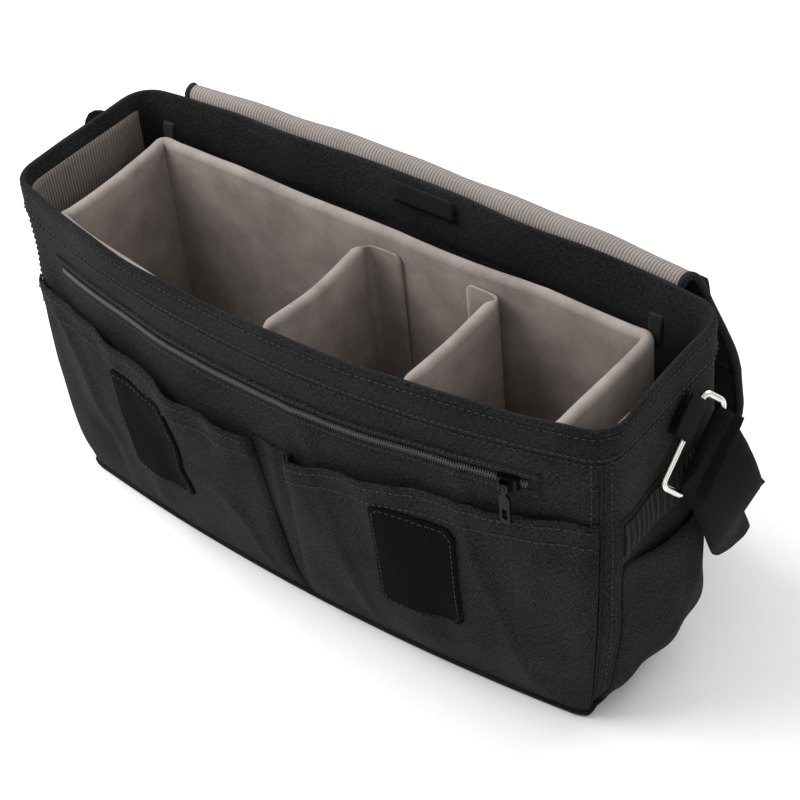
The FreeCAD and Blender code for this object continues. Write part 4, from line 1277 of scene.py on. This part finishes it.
def divider_path(x, sign, tab_end, back, front):
    """Plan line of a divider: along the back wall, across the insert and along the front wall."""
    pts = [(tab_end, back), (x + sign * 6 * MM, back), (x + sign * 1.0 * MM, back - 1.2 * MM),
           (x, back - 8 * MM), (x + sign * 1.5 * MM, (back + front) / 2), (x, front + 8 * MM),
           (x + sign * 1.0 * MM, front + 1.2 * MM), (x + sign * 6 * MM, front), (tab_end, front)]
    return smooth_path(np.array([(a, b, 0) for a, b in pts]), 2 * MM, 3)


def divider_section(s, total, tab, half, z1):
    """At distance s along a divider: 0 in a tab to 1 in the padding, half thickness, and top."""
    into = step(tab - 1 * MM, tab + 9 * MM, s)
    out_of = step(total - tab - 9 * MM, total - tab + 1 * MM, s)
    inside = into * (1 - out_of)
    end = min(1.0, math.sqrt(max(0.06, min(s, total - s) / (3 * MM))))
    h = (0.8 * MM + (half - 0.6 * MM) * inside) * (0.5 + 0.5 * end)
    middle = np.clip((s - tab) / (total - 2 * tab), 0, 1)
    top = z1 - 3.5 * MM * (1 - inside) - 3.0 * MM * math.sin(PI * middle) ** 2
    return inside, h, top - 5 * MM * (1 - end)


def divider_ring(x, p, n, z0, z1, inside, h, top, crown):
    """Padded section of a divider at plan point p, with its seam and rounded top."""
    ring = []
    for f, z in pad_profile(0, 1, 0.02, 14):
        if z <= 0.985:
            zz = z0 + (top - h - z0) * min(1.0, z / 0.98)
        else:
            zz = top - h + h * (z - 0.98) / 0.02
        hh = np.clip((zz - z0) / (z1 - z0), 0, 1)
        rough = waves(np.array([[p[0], p[1], zz]]), 97, 50 * MM)[0]
        puff = 1 + (crown - 1) * math.sin(PI * hh) * inside + 0.07 * rough * inside
        seam = 1 - 0.2 * math.exp(-((zz - (top - 10 * MM)) / (1.6 * MM)) ** 2) * inside
        off = f * h * puff * seam
        back = insert_lean(x, p[1], zz) - insert_lean(x, p[1], z1)
        ring.append([p[0] + n[0] * off, p[1] + n[1] * off + back, zz])
    return ring


def divider(side, body, sign):
    """Padded divider whose ends fold into tabs along the insert's walls."""
    lo, hi = low(f"{side}_divider"), high(f"{side}_divider")
    tlo, thi = low(f"{side}_divider_tabs"), high(f"{side}_divider_tabs")
    x = (lo[0] + hi[0]) / 2
    half = (hi[0] - lo[0]) / 2
    tab_end = thi[0] if sign > 0 else tlo[0]
    path = divider_path(x, sign, tab_end, thi[1] - 1.2 * MM, tlo[1] + 1.2 * MM)
    t = frames(path)
    n = np.stack([t[:, 1], -t[:, 0]], -1)
    s = run(path)
    rings = []
    for i in range(len(path)):
        section = divider_section(s[i], s[-1], abs(tab_end - x), half, hi[2])
        crown = 1 + 0.22 * math.sin(PI * i / (len(path) - 1)) ** 2
        rings.append(divider_ring(x, path[i], n[i], lo[2], hi[2], *section, crown))
    pad = loft(f"{side}_divider_pad", np.array(rings), TAUPE)
    place(pad, body, f"{side}_divider", f"{side}_divider_tabs")


# ---- back ----
SEW_IN = 4 * MM          # the reinforcement's stitching, in from its edge


def back_details():
    """Sewn reinforcement across the back."""
    lo, hi = low("rear_reinforcement"), high("rear_reinforcement")
    xs = spaced(lo[0], hi[0], 4 * MM)
    zs = spaced(lo[2], hi[2], 4 * MM)
    ss, zz = np.meshgrid(back_s(xs), zs, indexing="ij")
    from_end = np.minimum(xs - xs[0], xs[-1] - xs)
    from_foot = np.minimum(zs - zs[0], zs[-1] - zs)
    u = np.minimum(from_end[:, None], from_foot[None])
    off = 0.6 * MM + 1.2 * MM * (1 - np.exp(-u / (5 * MM)))
    cloth = slab("back_panel_patch", shell(ss, zz, off), shell(ss, zz, 0.1 * MM), CANVAS)
    place(cloth, "bag", "rear_reinforcement")
    x0, x1, z0, z1 = lo[0] + SEW_IN, hi[0] - SEW_IN, lo[2] + SEW_IN, hi[2] - SEW_IN
    corners = [(x0, z0), (x1, z0), (x1, z1), (x0, z1), (x0, z0)]
    pts = []
    for (xa, za), (xb, zb) in zip(corners[:-1], corners[1:]):
        for f in np.linspace(0, 1, 60, endpoint=False):
            pts.append((xa + (xb - xa) * f, za + (zb - za) * f))
    pts = np.array(pts)
    s = back_s(pts[:, 0])
    path = shell(s, pts[:, 1], 1.5 * MM)
    place(stitches("back_patch_stitches", path, outward_at(s), THREAD), "bag")


# ---- carried-over CAD nodes ----
def hardware():
    """Metal for the pieces that keep their CAD shape."""
    for node, mat in (("left_ring", NICKEL), ("right_ring", NICKEL), ("strap_adjuster", GUNMETAL),
                      ("zip_slider", GUNMETAL), ("zip_puller", GUNMETAL)):
        obj = frame["nodes"][node]
        obj.data.materials.clear()
        obj.data.materials.append(mat)


camera()
studio()
body_shell()
base()
rim()
lining()
for name, sign in (("left", -1), ("right", 1)):
    front_pocket(name, sign)
    end_pocket(name, sign)
    elastic(name, sign)
pleat()
zip_front()
for name, sign in (("left", -1), ("right", 1)):
    ring_tab(name, sign)
    strap_end(name, sign)
strap_behind()
flap()
ears()
insert_walls()
insert_floor()
insert_pulls()
divider("left", "left_divider", 1)
divider("right", "right_divider", -1)
back_details()
hardware()
